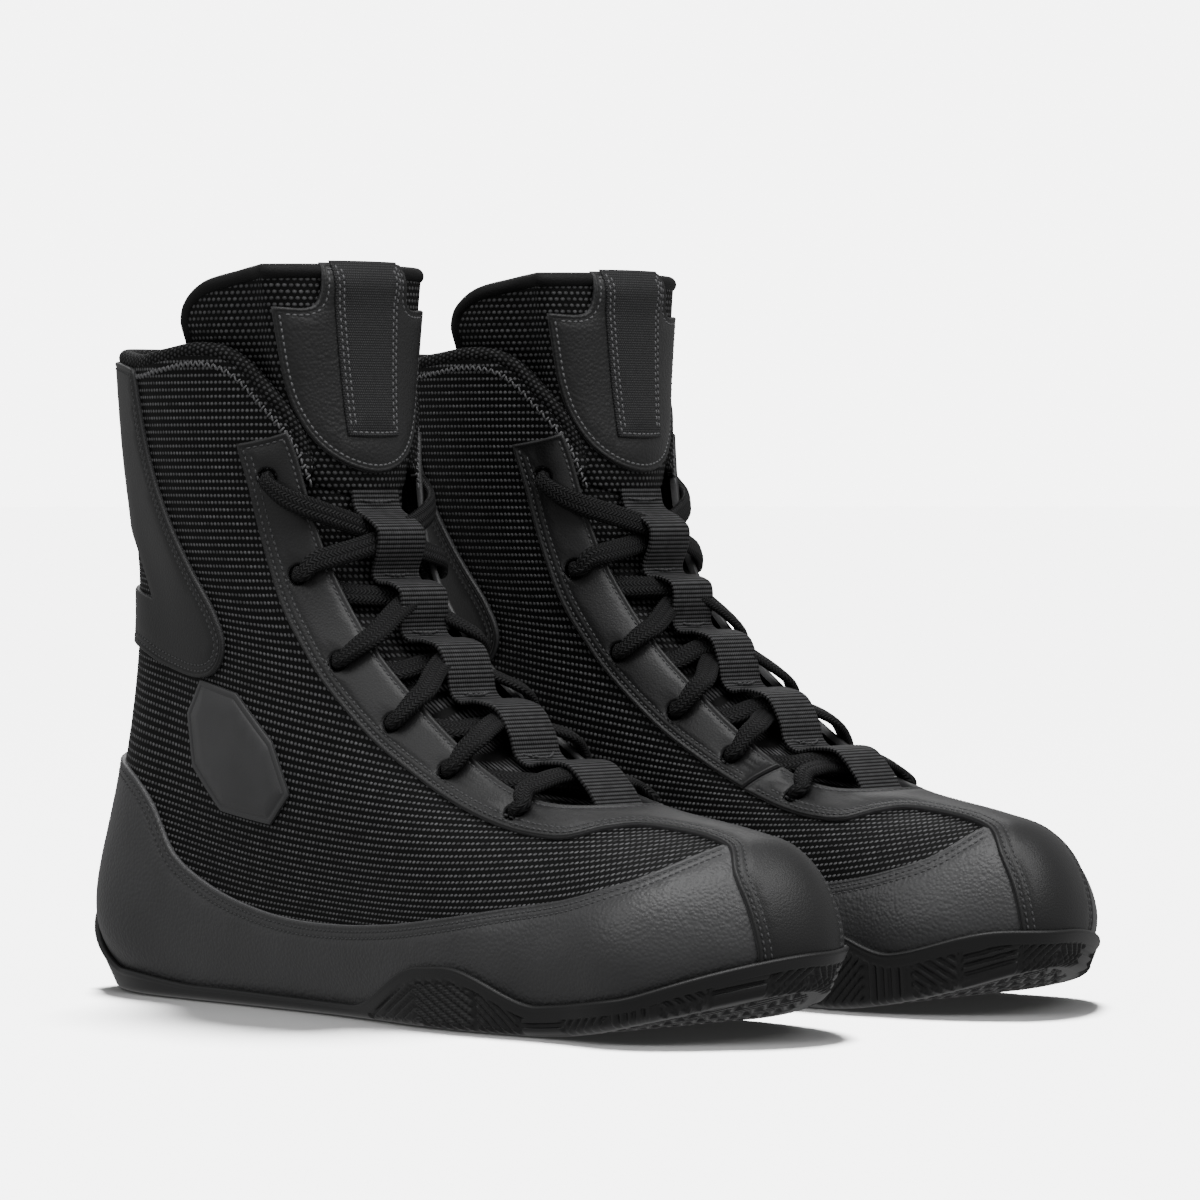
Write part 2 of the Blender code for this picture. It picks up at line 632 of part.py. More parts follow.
def tongue_base(u, v):
    return tongue_depth(u, v) - TONGUE_THICKNESS


def tongue_middle(u, v):
    return tongue_depth(u, v) - TONGUE_THICKNESS / 2


def tongues(boot, finishes):
    """The fixed lower tongue, and the free upper one that hinges on the crease at the top eyelets."""
    layer = (0, TONGUE_THICKNESS)
    below = [(u, v - CREASE_GAP / 2) for u, v in TONGUE_CREASE if u > .65]
    side = [(.90, .40), (.80, .43), (.70, .50), (.62, .60), (.60, .72), (.62, .85), (.65, .96)]
    outline = [(1.0, .40), *[(2 - u, v) for u, v in side], *[(2 - u, v) for u, v in below],
               *reversed(below[:-1]), *reversed(side)]
    panel("tongue_lower", boot, outline, layer, finishes["mesh"], (), spacing=14, clearance=4,
          depth=tongue_base, layout=THROAT_MAP)
    above = [(u, v + CREASE_GAP / 2) for u, v in TONGUE_CREASE]
    outline = [*above, *[(2 - u, v) for u, v in reversed(above)][1:],
               *[(2 - u, v) for u, v in TONGUE_TOP], *reversed(TONGUE_TOP[:-1])]
    panel("tongue_upper", boot, outline, layer, finishes["mesh"], (0, 2 * len(above) - 2), spacing=12,
          clearance=5, depth=tongue_base, layout=FRONT_MAP)
    gap_u, gap_v = .030, .0165
    edge = [(TONGUE_SIDE - gap_u, 1.04), (TONGUE_SIDE - gap_u, 1.10)]
    edge += [(u - gap_u / 3, v + gap_v) for u, v in TONGUE_TOP[1:-1]] + [(1.0, TONGUE_TOP[-1][1] + gap_v)]
    places = [*edge, *[(2 - u, v) for u, v in reversed(edge)][1:]]
    edge_tube("tongue_binding", boot, places, tongue_middle, 2.2, finishes["binding"], FRONT_MAP)


def shield_base(u, v):
    return tongue_depth(u, v) + TRIM_GAP


def label_base(u, v):
    return shield_base(u, v) + SHIELD_THICKNESS + LABEL_GAP


def tongue_trim(boot, finishes):
    """The shield sewn on the tongue's front and the plain label strip down its middle."""
    edge = [(.885, 1.160), (.886, 1.075), (.898, 1.035), (.922, 1.006), (.957, .986), (1.0, .979)]
    outline = [*edge, *[(2 - u, v) for u, v in reversed(edge)][1:], (1.06, 1.166), (1.05, 1.184),
               (.95, 1.184), (.94, 1.166)]
    panel("tongue_shield", boot, outline, (0, SHIELD_THICKNESS), finishes["leather"], (0, 10), spacing=9,
          depth=shield_base, layout=FRONT_MAP)
    label = [(.968, 1.018), (1.032, 1.018), (1.032, 1.182), (.968, 1.182)]
    panel("pull_label", boot, label, (0, LABEL_THICKNESS), finishes["webbing"], (0, 1, 2, 3), spacing=14,
          depth=label_base, layout=FRONT_MAP)


def webbing_depth(u, v):
    """The keeper lies on the tongue at its two ends and over the crossed laces between them."""
    raised, down = 4.9, TONGUE_FRONT + 2.4
    return blend(v, ((.478, down), (.505, raised), (.950, raised), (.962, down)))


def lace_keeper(boot, finish):
    """A straight length of webbing up the middle of the throat."""
    levels = (.472, .55, .65, .75, .85, .957)
    left = [THROAT_MAP.place(-WEBBING_WIDTH / 2, v * FLAT_HEIGHT) for v in reversed(levels)]
    right = [THROAT_MAP.place(WEBBING_WIDTH / 2, v * FLAT_HEIGHT) for v in levels]
    count = len(levels)
    panel("lace_keeper", boot, left + right, (0, WEBBING_THICKNESS), finish,
          (0, count - 1, count, 2 * count - 1), spacing=7, clearance=3, depth=webbing_depth,
          layout=THROAT_MAP)


# ---------------------------------------------------------------- lace

def eyelet_turn(row, side):
    """The lace's half turn through one eyelet, from under to over, as flat points with a depth."""
    u, v = EYELETS[row]
    x, y = FRONT_MAP.flat(1 - side * (1 - u), v)
    lean = .35 if row else -.45
    length = math.hypot(1, lean)
    turn = []
    for angle in (0, 60, 120, 180):
        swing = math.radians(angle)
        run = LACE_BEND * (1 - math.sin(swing))
        spot = FRONT_MAP.moved(x, y, -math.copysign(run / length, x), run * lean / length)
        turn.append((*spot, .65 - LACE_BEND * math.cos(swing)))
    return turn


def lace_place(u, v, depth):
    return *FRONT_MAP.flat(u, v), depth


def lace_half(sign):
    """One half of the lace, from the bottom bar up to the top eyelet and down inside the collar."""
    route = []
    side = sign
    for row in range(len(EYELETS) - 1, 0, -1):
        route += eyelet_turn(row, side)
        crossing = CROSSINGS[row - 1]
        low_v, high_v = EYELETS[row][1], EYELETS[row - 1][1]
        over = side > 0
        near = 1 - side * (1 - THROAT)
        far = 1 + side * (1 - THROAT)
        route.append(lace_place(near, low_v + (crossing - low_v) * .45, 4.0))
        route.append(lace_place(1.0, crossing, 1.2 if over else -2.4))
        depth = -2.6 if row > 1 else 4.0
        route.append(lace_place(far, crossing + (high_v - crossing) * .5, depth))
        side = -side
    route += eyelet_turn(0, side)[::-1]
    tail = ((.80, .90), (.815, .85), (.82, .80))
    for u, v in tail:
        route.append(lace_place(1 - side * (1 - u), v, -1.95))
    return route


def lace_route():
    outer, inner = lace_half(1), lace_half(-1)
    bar = [lace_place(u, .436, -3.2) for u in (.90, .95, 1.0, 1.05, 1.10)]
    return outer[::-1] + bar + inner


def lace(boot, finishes):
    route = lace_route()
    spots = np.array([(*FRONT_MAP.place(x, y), depth) for x, y, depth in route])
    points = lifted(spots[:, 0], spots[:, 1], spots[:, 2])
    world = to_world(points, boot["side"])
    tube("lace", boot, world, LACE_RADIUS, finishes["lace"])
    for label, end, before in (("first", world[0], world[1]), ("second", world[-1], world[-2])):
        aglet(f"{label}_aglet", boot, end, before, finishes["aglet"])


def aglet(name, boot, end, before, finish):
    """A plain tip on one end of the lace."""
    along = (Vector(end) - Vector(before)).normalized()
    length, radius, gap = 14 * MM, 1.4 * MM, .3 * MM
    bpy.ops.mesh.primitive_cylinder_add(vertices=12, radius=radius, depth=length)
    made = bpy.context.object
    made.name = made.data.name = f"{boot['name']}_{name}"
    made.location = Vector(end) + along * (gap + length / 2)
    made.rotation_euler = along.to_track_quat("Z", "Y").to_euler()
    for home in made.users_collection:
        home.objects.unlink(made)
    made.data.materials.append(finish)
    boot["collection"].objects.link(made)


# ---------------------------------------------------------------- the pair

def finishes():
    black = .012
    return {
        "rubber": material("outsole_rubber", (black, black, black), .62),
        "foam": material("foam", (.03, .03, .03), .9),
        "board": material("insole_board", (.05, .045, .04), .85),
        "insole": material("insole_cloth", (.02, .02, .02), .9),
        "stiffener": material("stiffener_board", (.08, .075, .07), .7),
        "lining": material("lining_cloth", (.015, .015, .015), .9),
        "mesh": material("mesh_fabric", (.018, .018, .018), .85),
        "leather": material("grained_leather", (.02, .02, .02), .5),
        "smooth": material("smooth_leather", (.028, .028, .028), .48),
        "badge": material("badge_film", (.035, .035, .035), .45),
        "binding": material("binding_tape", (.014, .014, .014), .8),
        "webbing": material("webbing", (.016, .016, .016), .85),
        "lace": material("braided_lace", (.015, .015, .015), .9),
        "aglet": material("aglet_plastic", (.02, .02, .02), .4),
    }


def build_boot(name, side, finish, collection):
    boot = {"name": name, "side": side, "collection": collection}
    outsole(boot, finish["rubber"])
    footbed(boot, finish)
    stiffeners(boot, finish["stiffener"])
    linings(boot, finish)
    quarters(boot, finish["mesh"])
    rands(boot, finish["leather"])
    eyestays(boot, finish["smooth"])
    ankle_wrap(boot, finish["smooth"])
    badges(boot, finish["badge"])
    collar_edge(boot, finish["binding"])
    tongues(boot, finish)
    tongue_trim(boot, finish)
    lace_keeper(boot, finish["webbing"])
    lace(boot, finish)


def main():
    for old in list(bpy.data.objects):
        bpy.data.objects.remove(old, do_unlink=True)
    collection = bpy.data.collections.new("boxing_boots")
    bpy.context.scene.collection.children.link(collection)
    made = finishes()
    build_boot("right", -1, made, collection)
    build_boot("left", 1, made, collection)


main()
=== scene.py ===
"""The looks of a pair of black lace-up boxing boots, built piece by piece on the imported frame.

Lengths in here are millimetres in each boot's own coordinates: s runs from heel to toe, q points to the
outer side and z is the height. The outside of the upper is one lofted surface with two coordinates: u is
0 at the heel and 1 at the toe, positive on the outer side, and v is 0 at the sole and 1 at the collar.
Panels, stitches, laces and webbing are laid out on that surface, at heights over it, and placed in the
frame in metres at the end.
"""
import math

import bpy
import numpy as np
from mathutils.geometry import delaunay_2d_cdt
from mathutils.kdtree import KDTree
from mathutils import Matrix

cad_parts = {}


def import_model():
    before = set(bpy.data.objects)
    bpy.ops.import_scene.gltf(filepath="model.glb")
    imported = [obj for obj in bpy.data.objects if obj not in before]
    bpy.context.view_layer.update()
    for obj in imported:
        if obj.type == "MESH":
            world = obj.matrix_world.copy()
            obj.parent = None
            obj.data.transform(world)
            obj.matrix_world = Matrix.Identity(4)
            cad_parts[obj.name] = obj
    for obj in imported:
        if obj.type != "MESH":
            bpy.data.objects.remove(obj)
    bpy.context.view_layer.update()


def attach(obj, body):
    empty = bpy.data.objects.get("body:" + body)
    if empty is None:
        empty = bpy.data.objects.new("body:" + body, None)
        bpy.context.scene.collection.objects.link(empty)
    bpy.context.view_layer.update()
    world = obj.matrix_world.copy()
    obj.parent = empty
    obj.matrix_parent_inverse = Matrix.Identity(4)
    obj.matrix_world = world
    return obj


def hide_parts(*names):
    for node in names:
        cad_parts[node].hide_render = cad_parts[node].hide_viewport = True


MM = 0.001

# Stance of the pair
ANKLE_SPACING = 123.0
TOE_OUT = math.radians(2.2)
ANKLE_S = 112.0
HEEL_Y = 139.5

# The lofted surface: stations along each ring, then for each ring v, s at its two ends, z at the nine
# stations, and the outer and inner half-widths at the seven stations between the ends
STATIONS = (0, .05, .17, .33, .5, .67, .83, .95, 1)
STATION_U = (0, .08, .2, .35, .5, .65, .8, .93, 1)
RINGS = (
    (0.00, -2.0, 284.0, (9, 7.5, 6.5, 6.5, 6.5, 7, 10, 17, 22),
     (20, 28.5, 30.5, 35, 41.5, 38, 25), (20, 28, 26.5, 29, 39, 43, 32)),
    (0.10, -7.5, 286.5, (25, 23.5, 20.5, 18.5, 18, 18.5, 22.5, 27.5, 30),
     (25, 31.5, 33.5, 37.5, 43, 41, 27), (25, 31, 29.5, 31.5, 41.5, 45, 34.5)),
    (0.22, -4.0, 278.5, (50, 48, 43, 37, 34, 34, 38, 46, 50),
     (24, 31, 34, 38, 42, 37.5, 23), (24, 30.5, 31, 34, 40.5, 42, 30)),
    (0.34, 1.0, 258.0, (71, 69, 64, 58, 54, 53, 55, 58, 60),
     (21.5, 29.5, 34, 36.5, 38, 29, 12), (21.5, 29, 31.5, 33, 36, 36, 23)),
    (0.46, 5.5, 224.0, (96, 94, 89.5, 83.5, 78, 73.5, 69.5, 66.5, 66),
     (19, 28, 33.5, 35, 32.5, 24, 9), (19, 28, 32, 33, 31.5, 27, 16)),
    (0.58, 8.0, 187.0, (122, 120.5, 116.5, 111, 104, 96.5, 89, 83, 80),
     (17, 26, 32, 33.5, 30.5, 23, 11), (17, 26, 31.5, 32.5, 29, 23.5, 14)),
    (0.70, 8.0, 153.0, (147, 145, 141, 135, 128, 119, 110.5, 104.5, 102.5),
     (16.5, 26, 32.5, 34, 31.5, 24, 13), (16.5, 26, 32, 33, 30.5, 24, 13.5)),
    (0.84, 6.5, 125.0, (172, 170.5, 167.5, 162.5, 155.5, 147, 138.5, 132.5, 130.5),
     (17, 27.5, 34, 36.5, 34, 26.5, 14.5), (17, 27.5, 33.5, 35.5, 33.5, 26.5, 14.5)),
    (1.00, 5.5, 110.5, (203, 203, 202, 199, 194, 186, 178, 173.5, 172),
     (18, 29, 36, 38.5, 37, 31, 19), (18, 29, 35.5, 38, 36.5, 31, 19)),
    (1.18, 6.0, 106.5, (222,) * 9,
     (19, 30, 37, 40, 39.5, 36, 25), (19, 30, 37, 40, 39.5, 36, 25)),
)
BEND_START, BEND_LENGTH, BEND = 120.0, 160.0, 9.8

# Thicknesses, and depths (-) or heights (+) over the lofted surface
LEATHER = 1.35
SHIELD_LEATHER, STRIP_CLOTH, BADGE_FILM = 1.3, .9, 1.1
FABRIC, FABRIC_TOP = 1.0, -0.15
SHEET = .5
TONGUE_LOWER_SHELL, TONGUE_TOP_SHELL = 2.4, 3.4
TONGUE_FRONT, TONGUE_TOP_FRONT = -4.7, -1.0
TONGUE_WING, TONGUE_TOP_WING = -9.0, -6.4

# Outlines in (u, v) that both sides of the upper share
BOTTOM = .015
HIDDEN_EDGE = -.035
COLLAR = ((0, 1.0), (.27, 1.0), (.44, 1.03), (.59, 1.072), (.68, 1.086), (.745, 1.080), (.81, 1.060),
          (.857, 1.045), (.893, 1.020), (.910, .972))
RAND_TOP = ((.01, .370), (.08, .366), (.13, .355), (.175, .320), (.22, .243), (.28, .208), (.35, .188),
            (.42, .178), (.49, .182), (.57, .197), (.65, .217), (.73, .233), (.85, .240), (.91, .252),
            (.948, .284))
EYESTAY_OUTER = ((.706, .968), (.713, .899), (.69, .80), (.645, .68), (.632, .60), (.655, .525),
                 (.69, .475), (.73, .42), (.765, .385), (.80, .366), (.84, .361), (.90, .386), (.94, .392),
                 (.962, .345), (.966, .285), (.960, .22), (.962, .16), (.964, .10), (.966, -.01))
EYESTAY_INNER = ((.876, 1.014), (.886, .972), (.883, .885), (.878, .785), (.858, .67), (.842, .58),
                 (.842, .51), (.857, .468), (.89, .452), (.95, .458))
EYESTAY_SEAM = (.728, .423), (.845, .492)
THROAT_EDGE = ((.745, .90), (.72, .80), (.675, .68), (.665, .60), (.69, .53), (.725, .475), (.76, .43),
               (.80, .405))
WRAP_EDGE = ((.305, .992), (.33, .89), (.362, .81), (.395, .72), (.416, .655), (.408, .60), (.362, .552),
             (.30, .530), (.20, .530), (.10, .540))
WRAP_WINDOW = ((.185, .622), (.165, .665), (.125, .712), (.06, .745))
BADGE = ((.26, .40), (.31, .345), (.40, .345), (.45, .40), (.45, .475), (.40, .53), (.31, .53),
         (.26, .475))
TONGUE_TOP = ((.50, 1.08), (.505, 1.12), (.53, 1.155), (.60, 1.185), (.72, 1.197), (.86, 1.202),
              (1.0, 1.203))

# Lacing: eyelets from the top row to the bottom one, and where the strands cross on the centre line
EYELETS = ((.779, .942), (.769, .814), (.716, .662), (.728, .566), (.760, .495), (.803, .420))
EYELET_RADIUS = 3.3
CROSSINGS = (.905, .825, .735, .640, .540)
THROAT = .87
LACE_BEND = 2.8
LACE_WIDTH, LACE_THICKNESS = 7.0, 3.0
WEBBING_WIDTH, WEBBING_THICKNESS = 19.5, 1.3
KEEPER_TACKS = (.861, .782, .687, .591, .948)

# Stitches: distances of the rows from a leather edge, then the thread
FIRST_ROW, SECOND_ROW = 2.1, 4.2
STITCH_PITCH, STITCH_LENGTH, STITCH_RADIUS = 2.1, 1.60, .37
ZIGZAG_DROP, ZIGZAG_STEP, ZIGZAG_REACH = 4.2, 1.3, .9

# Sole
GROUND_END, TOE_END, TOE_SPRING = 218.0, 286.0, 16.0
WALL_COLUMNS, WALL_ROWS, EDGE_ROWS = 1300, 22, 5
FOOT_DEPTH, SHOULDER, SHOULDER_RISE, RIM = -3.5, 2.7, 2.5, 3.45
RIB_PITCH, RIB_DEPTH = 2.7, 1.1
OUTER_LIP = ((0, .13), (.12, .014), (.25, -.008), (.49, -.014), (.615, .106), (.645, .108), (.76, .012),
             (.87, .014), (1.0, .07))
INNER_LIP = ((0, .13), (.12, .014), (.25, -.008), (.50, -.010), (.69, .145), (.73, .150), (.845, .064),
             (.94, .086), (1.0, .07))


# ---------------------------------------------------------------- the lofted surface

def bend(s):
    return -BEND * np.clip((np.asarray(s, float) - BEND_START) / BEND_LENGTH, 0, None) ** 1.5


def ring_points():
    rings = []
    last = len(STATIONS) - 1
    for _, heel_s, toe_s, heights, outer, inner in RINGS:
        along = [heel_s + (toe_s - heel_s) * t for t in STATIONS]
        outer_q = [0.0, *outer, float(bend(toe_s))]
        ring = [(along[k], outer_q[k], heights[k]) for k in range(last + 1)]
        ring += [(along[k], -inner[k - 1], heights[k]) for k in range(last - 1, 0, -1)]
        rings.append(ring)
    return np.array(rings, float)


def spline_weights(x, knots, period=None):
    """Weights of a cubic spline through the knots, one row per x; closed when a period is given."""
    knots = np.asarray(knots, float)
    count = len(knots)
    closed = period is not None
    gaps = np.diff(np.append(knots, knots[0] + period)) if closed else np.diff(knots)
    left, right = np.eye(count), np.zeros((count, count))
    for i in range(count) if closed else range(1, count - 1):
        before, after = gaps[i - 1], gaps[i]
        nxt = (i + 1) % count
        left[i] = 0
        left[i, i - 1] += before
        left[i, i] += 2 * (before + after)
        left[i, nxt] += after
        right[i, i - 1] += 6 / before
        right[i, i] -= 6 / before + 6 / after
        right[i, nxt] += 6 / after
    curvature = np.linalg.solve(left, right)
    x = np.asarray(x, float)
    if closed:
        x = np.mod(x - knots[0], period) + knots[0]
    cell = np.clip(np.searchsorted(knots, x, side="right") - 1, 0, len(gaps) - 1)
    gap = gaps[cell]
    b = (x - knots[cell]) / gap
    a = 1 - b
    eye = np.eye(count)
    upper = (cell + 1) % count
    smooth = (a ** 3 - a)[:, None] * curvature[cell] + (b ** 3 - b)[:, None] * curvature[upper]
    return a[:, None] * eye[cell] + b[:, None] * eye[upper] + smooth * (gap ** 2 / 6)[:, None]


NET = ring_points()
RING_V = [ring[0] for ring in RINGS]
RING_U = [*STATION_U, *(2 - u for u in STATION_U[-2:0:-1])]


def surface(u, v):
    """Points (s, q, z) of the lofted surface."""
    u, v = np.broadcast_arrays(np.asarray(u, float), np.asarray(v, float))
    across = spline_weights(u.ravel(), RING_U, 2.0)
    up = spline_weights(v.ravel(), RING_V)
    mixed = np.einsum("ni,ijk->njk", up, NET)
    return np.einsum("nj,njk->nk", across, mixed).reshape(u.shape + (3,))


def normals(u, v):
    step = 1e-3
    along = surface(u + step, v) - surface(u - step, v)
    up = surface(u, v + step) - surface(u, v - step)
    normal = np.cross(up, along)
    return normal / np.linalg.norm(normal, axis=-1, keepdims=True)


def lifted(u, v, depth):
    """Points at a depth under (-) or a height over (+) the lofted surface."""
    u, v, depth = np.broadcast_arrays(*(np.asarray(x, float) for x in (u, v, depth)))
    return surface(u, v) + normals(u, v) * depth[..., None]


def to_front(u):
    """The same place counted from 0 at the heel to 1 at the toe, whichever side it is on."""
    return np.abs((np.asarray(u) + 1) % 2 - 1)


def to_world(points, side):
    """Boot coordinates to the frame's metres; side is -1 for the right boot and +1 for the left."""
    points = np.asarray(points, float)
    s, q, z = points[..., 0] - ANKLE_S, points[..., 1], points[..., 2]
    forward = s * math.cos(TOE_OUT) - q * math.sin(TOE_OUT)
    outward = s * math.sin(TOE_OUT) + q * math.cos(TOE_OUT)
    x = side * (ANKLE_SPACING / 2 + outward)
    y = HEEL_Y - ANKLE_S - forward
    return np.stack([x, y, z], axis=-1) * MM


def blend(x, stops):
    """Piecewise smooth value of x through (x, value) stops, for numbers and arrays."""
    x = np.asarray(x, float)
    value = np.full(x.shape, float(stops[0][1]))
    for (x0, y0), (x1, y1) in zip(stops, stops[1:]):
        t = np.clip((x - x0) / (x1 - x0), 0, 1)
        value += (y1 - y0) * t * t * (3 - 2 * t)
    return value


FLAT_HEIGHT = 190.0
MAP_U = np.linspace(-2, 2, 401)
MAP_V = np.linspace(-.06, 1.26, 45)


def map_lengths():
    grid = surface(*np.meshgrid(MAP_U, MAP_V))
    steps = np.linalg.norm(np.diff(grid, axis=1), axis=2)
    return np.concatenate([np.zeros((len(MAP_V), 1)), np.cumsum(steps, axis=1)], axis=1)


MAP_X = map_lengths()


class FlatMap:
    """The upper laid flat: x is the length along a ring from the line u = middle, y the height in v."""

    def __init__(self, middle):
        self.lengths = MAP_X - MAP_X[:, [int(round((middle + 2) * 100))]]

    def rows(self, v):
        level = np.clip((v - MAP_V[0]) / (MAP_V[1] - MAP_V[0]), 0, len(MAP_V) - 1.001)
        low = level.astype(int)
        part = (level - low)[:, None]
        return self.lengths[low] * (1 - part) + self.lengths[low + 1] * part

    def flat(self, places):
        places = np.asarray(places, float).reshape(-1, 2)
        rows = self.rows(places[:, 1])
        step = np.clip((places[:, 0] + 2) * 100, 0, len(MAP_U) - 1.001)
        low = step.astype(int)
        index = np.arange(len(places))
        x = rows[index, low] + (rows[index, low + 1] - rows[index, low]) * (step - low)
        return np.stack([x, places[:, 1] * FLAT_HEIGHT], axis=1)

    def place(self, flat):
        flat = np.asarray(flat, float).reshape(-1, 2)
        v = flat[:, 1] / FLAT_HEIGHT
        rows = self.rows(v)
        low = np.clip((rows < flat[:, :1]).sum(axis=1) - 1, 0, len(MAP_U) - 2)
        index = np.arange(len(flat))
        start, end = rows[index, low], rows[index, low + 1]
        return MAP_U[low] + (flat[:, 0] - start) / (end - start) * .01, v

    def frame(self, flat):
        """Position, its change with x and with y, and the outward normal."""
        step = .5
        at = [surface(*self.place(flat + np.array(shift))) for shift in
              ((0, 0), (step, 0), (-step, 0), (0, step), (0, -step))]
        along, up = (at[1] - at[2]) / (2 * step), (at[3] - at[4]) / (2 * step)
        normal = np.cross(up, along)
        return at[0], along, up, normal / np.linalg.norm(normal, axis=1, keepdims=True)

    def moved(self, flat, vector, along, up):
        """Flat points moved by real vectors that lie in the surface."""
        aa, ab, bb = ((p * q).sum(1) for p, q in ((along, along), (along, up), (up, up)))
        va, vb = (vector * along).sum(1), (vector * up).sum(1)
        det = aa * bb - ab * ab
        return flat + np.stack([(va * bb - vb * ab) / det, (vb * aa - va * ab) / det], axis=1)

    def inset(self, loop, distance):
        """A closed anticlockwise loop moved inward by a real distance."""
        position, along, up, normal = self.frame(loop)
        after = np.roll(position, -1, 0) - position
        after /= np.linalg.norm(after, axis=1, keepdims=True)
        before = np.roll(after, 1, 0)
        side_a, side_b = np.cross(before, normal), np.cross(after, normal)
        both = side_a + side_b
        miter = both / np.maximum(1 + (side_a * side_b).sum(1), .45)[:, None]
        return self.moved(loop, miter * distance, along, up)

    def outline(self, points, corners=(), spacing=2.0):
        """A closed outline through (u, v) points, rounded everywhere but at the listed corners."""
        knots = self.flat(points)
        count = len(knots)
        dense, place = [], []
        for i in range(count):
            nxt = (i + 1) % count
            start, end = knots[i], knots[nxt]
            leave = end - start if i in corners else (end - knots[i - 1]) / 2
            arrive = end - start if nxt in corners else (knots[(i + 2) % count] - start) / 2
            steps = max(1, round(np.linalg.norm(end - start) / spacing))
            for k in range(steps):
                t = k / steps
                dense.append(start * (2 * t ** 3 - 3 * t ** 2 + 1) + leave * (t ** 3 - 2 * t ** 2 + t)
                             + end * (3 * t ** 2 - 2 * t ** 3) + arrive * (t ** 3 - t ** 2))
                place.append(i + t)
        return np.array(dense), np.array(place)

    def circle(self, u, v, radius, sides=24):
        """A round hole on the real surface, anticlockwise."""
        angle = np.linspace(0, 2 * math.pi, sides, endpoint=False)
        centre = np.repeat(self.flat((u, v)), sides, axis=0)
        _, along, up, normal = self.frame(centre)
        across = along / np.linalg.norm(along, axis=1, keepdims=True)
        rise = np.cross(across, normal)
        vector = (across * np.cos(angle)[:, None] + rise * np.sin(angle)[:, None]) * radius
        return self.moved(centre, vector, along, up)


HEEL, FRONT = FlatMap(0), FlatMap(1)


# ---------------------------------------------------------------- materials

def operation(tree, kind, *values):
    node = tree.nodes.new("ShaderNodeMath")
    node.operation = kind
    for socket, value in zip(node.inputs, values):
        if isinstance(value, bpy.types.NodeSocket):
            tree.links.new(value, socket)
        else:
            socket.default_value = value
    return node.outputs[0]


def new_material(name, colour, roughness, specular=.5):
    made = bpy.data.materials.new(name)
    made.use_nodes = True
    shader = made.node_tree.nodes["Principled BSDF"]
    shader.inputs["Base Color"].default_value = (*colour, 1)
    shader.inputs["Roughness"].default_value = roughness
    shader.inputs["Specular IOR Level"].default_value = specular
    return made, made.node_tree, shader


def add_bump(tree, shader, height, distance):
    bump = tree.nodes.new("ShaderNodeBump")
    bump.inputs["Strength"].default_value = 1.0
    bump.inputs["Distance"].default_value = distance
    tree.links.new(height, bump.inputs["Height"])
    tree.links.new(bump.outputs["Normal"], shader.inputs["Normal"])


def mixed_colour(tree, factor, low, high):
    """A mix of two colours; the low one may be another node's output."""
    mix = tree.nodes.new("ShaderNodeMix")
    mix.data_type = "RGBA"
    if isinstance(low, bpy.types.NodeSocket):
        tree.links.new(low, mix.inputs["A"])
    else:
        mix.inputs["A"].default_value = (*low, 1)
    mix.inputs["B"].default_value = (*high, 1)
    tree.links.new(factor, mix.inputs["Factor"])
    return mix.outputs["Result"]


def noise(tree, size, detail=2.0):
    """Noise with clouds of the given size in mm."""
    clouds = tree.nodes.new("ShaderNodeTexNoise")
    clouds.inputs["Scale"].default_value = 1 / (size * MM)
    clouds.inputs["Detail"].default_value = detail
    tree.links.new(tree.nodes.new("ShaderNodeTexCoord").outputs["Object"], clouds.inputs["Vector"])
    return clouds.outputs["Fac"]


def uv_map(tree):
    split = tree.nodes.new("ShaderNodeSeparateXYZ")
    tree.links.new(tree.nodes.new("ShaderNodeTexCoord").outputs["UV"], split.inputs[0])
    return split.outputs["X"], split.outputs["Y"]


def leather(name, colour, roughness, grain, depth, specular=.4, cut_edge=4.5):
    """Leather with a pebbled grain of the given size in mm, cloudy finish and paler cut edges."""
    made, tree, shader = new_material(name, colour, roughness, specular)
    cells = tree.nodes.new("ShaderNodeTexVoronoi")
    cells.feature = "SMOOTH_F1"
    cells.inputs["Scale"].default_value = 1 / (grain * MM)
    cells.inputs["Smoothness"].default_value = .6
    tree.links.new(tree.nodes.new("ShaderNodeTexCoord").outputs["Object"], cells.inputs["Vector"])
    pebbles = operation(tree, "MULTIPLY", cells.outputs["Distance"], -1.0)
    folds = operation(tree, "MULTIPLY", noise(tree, 6, 4), .5)
    add_bump(tree, shader, operation(tree, "ADD", pebbles, folds), depth * MM)
    clouds = noise(tree, 22, 5)
    worn = tree.nodes.new("ShaderNodeAttribute")
    worn.attribute_name = "cut_edge"
    dark, light, pale = (tuple(k * c for c in colour) for k in (.65, 1.35, cut_edge))
    finished = mixed_colour(tree, worn.outputs["Fac"], mixed_colour(tree, clouds, dark, light), pale)
    tree.links.new(finished, shader.inputs["Base Color"])
    spread = operation(tree, "MULTIPLY", clouds, .14)
    tree.links.new(operation(tree, "ADD", spread, roughness - .07), shader.inputs["Roughness"])
    return made


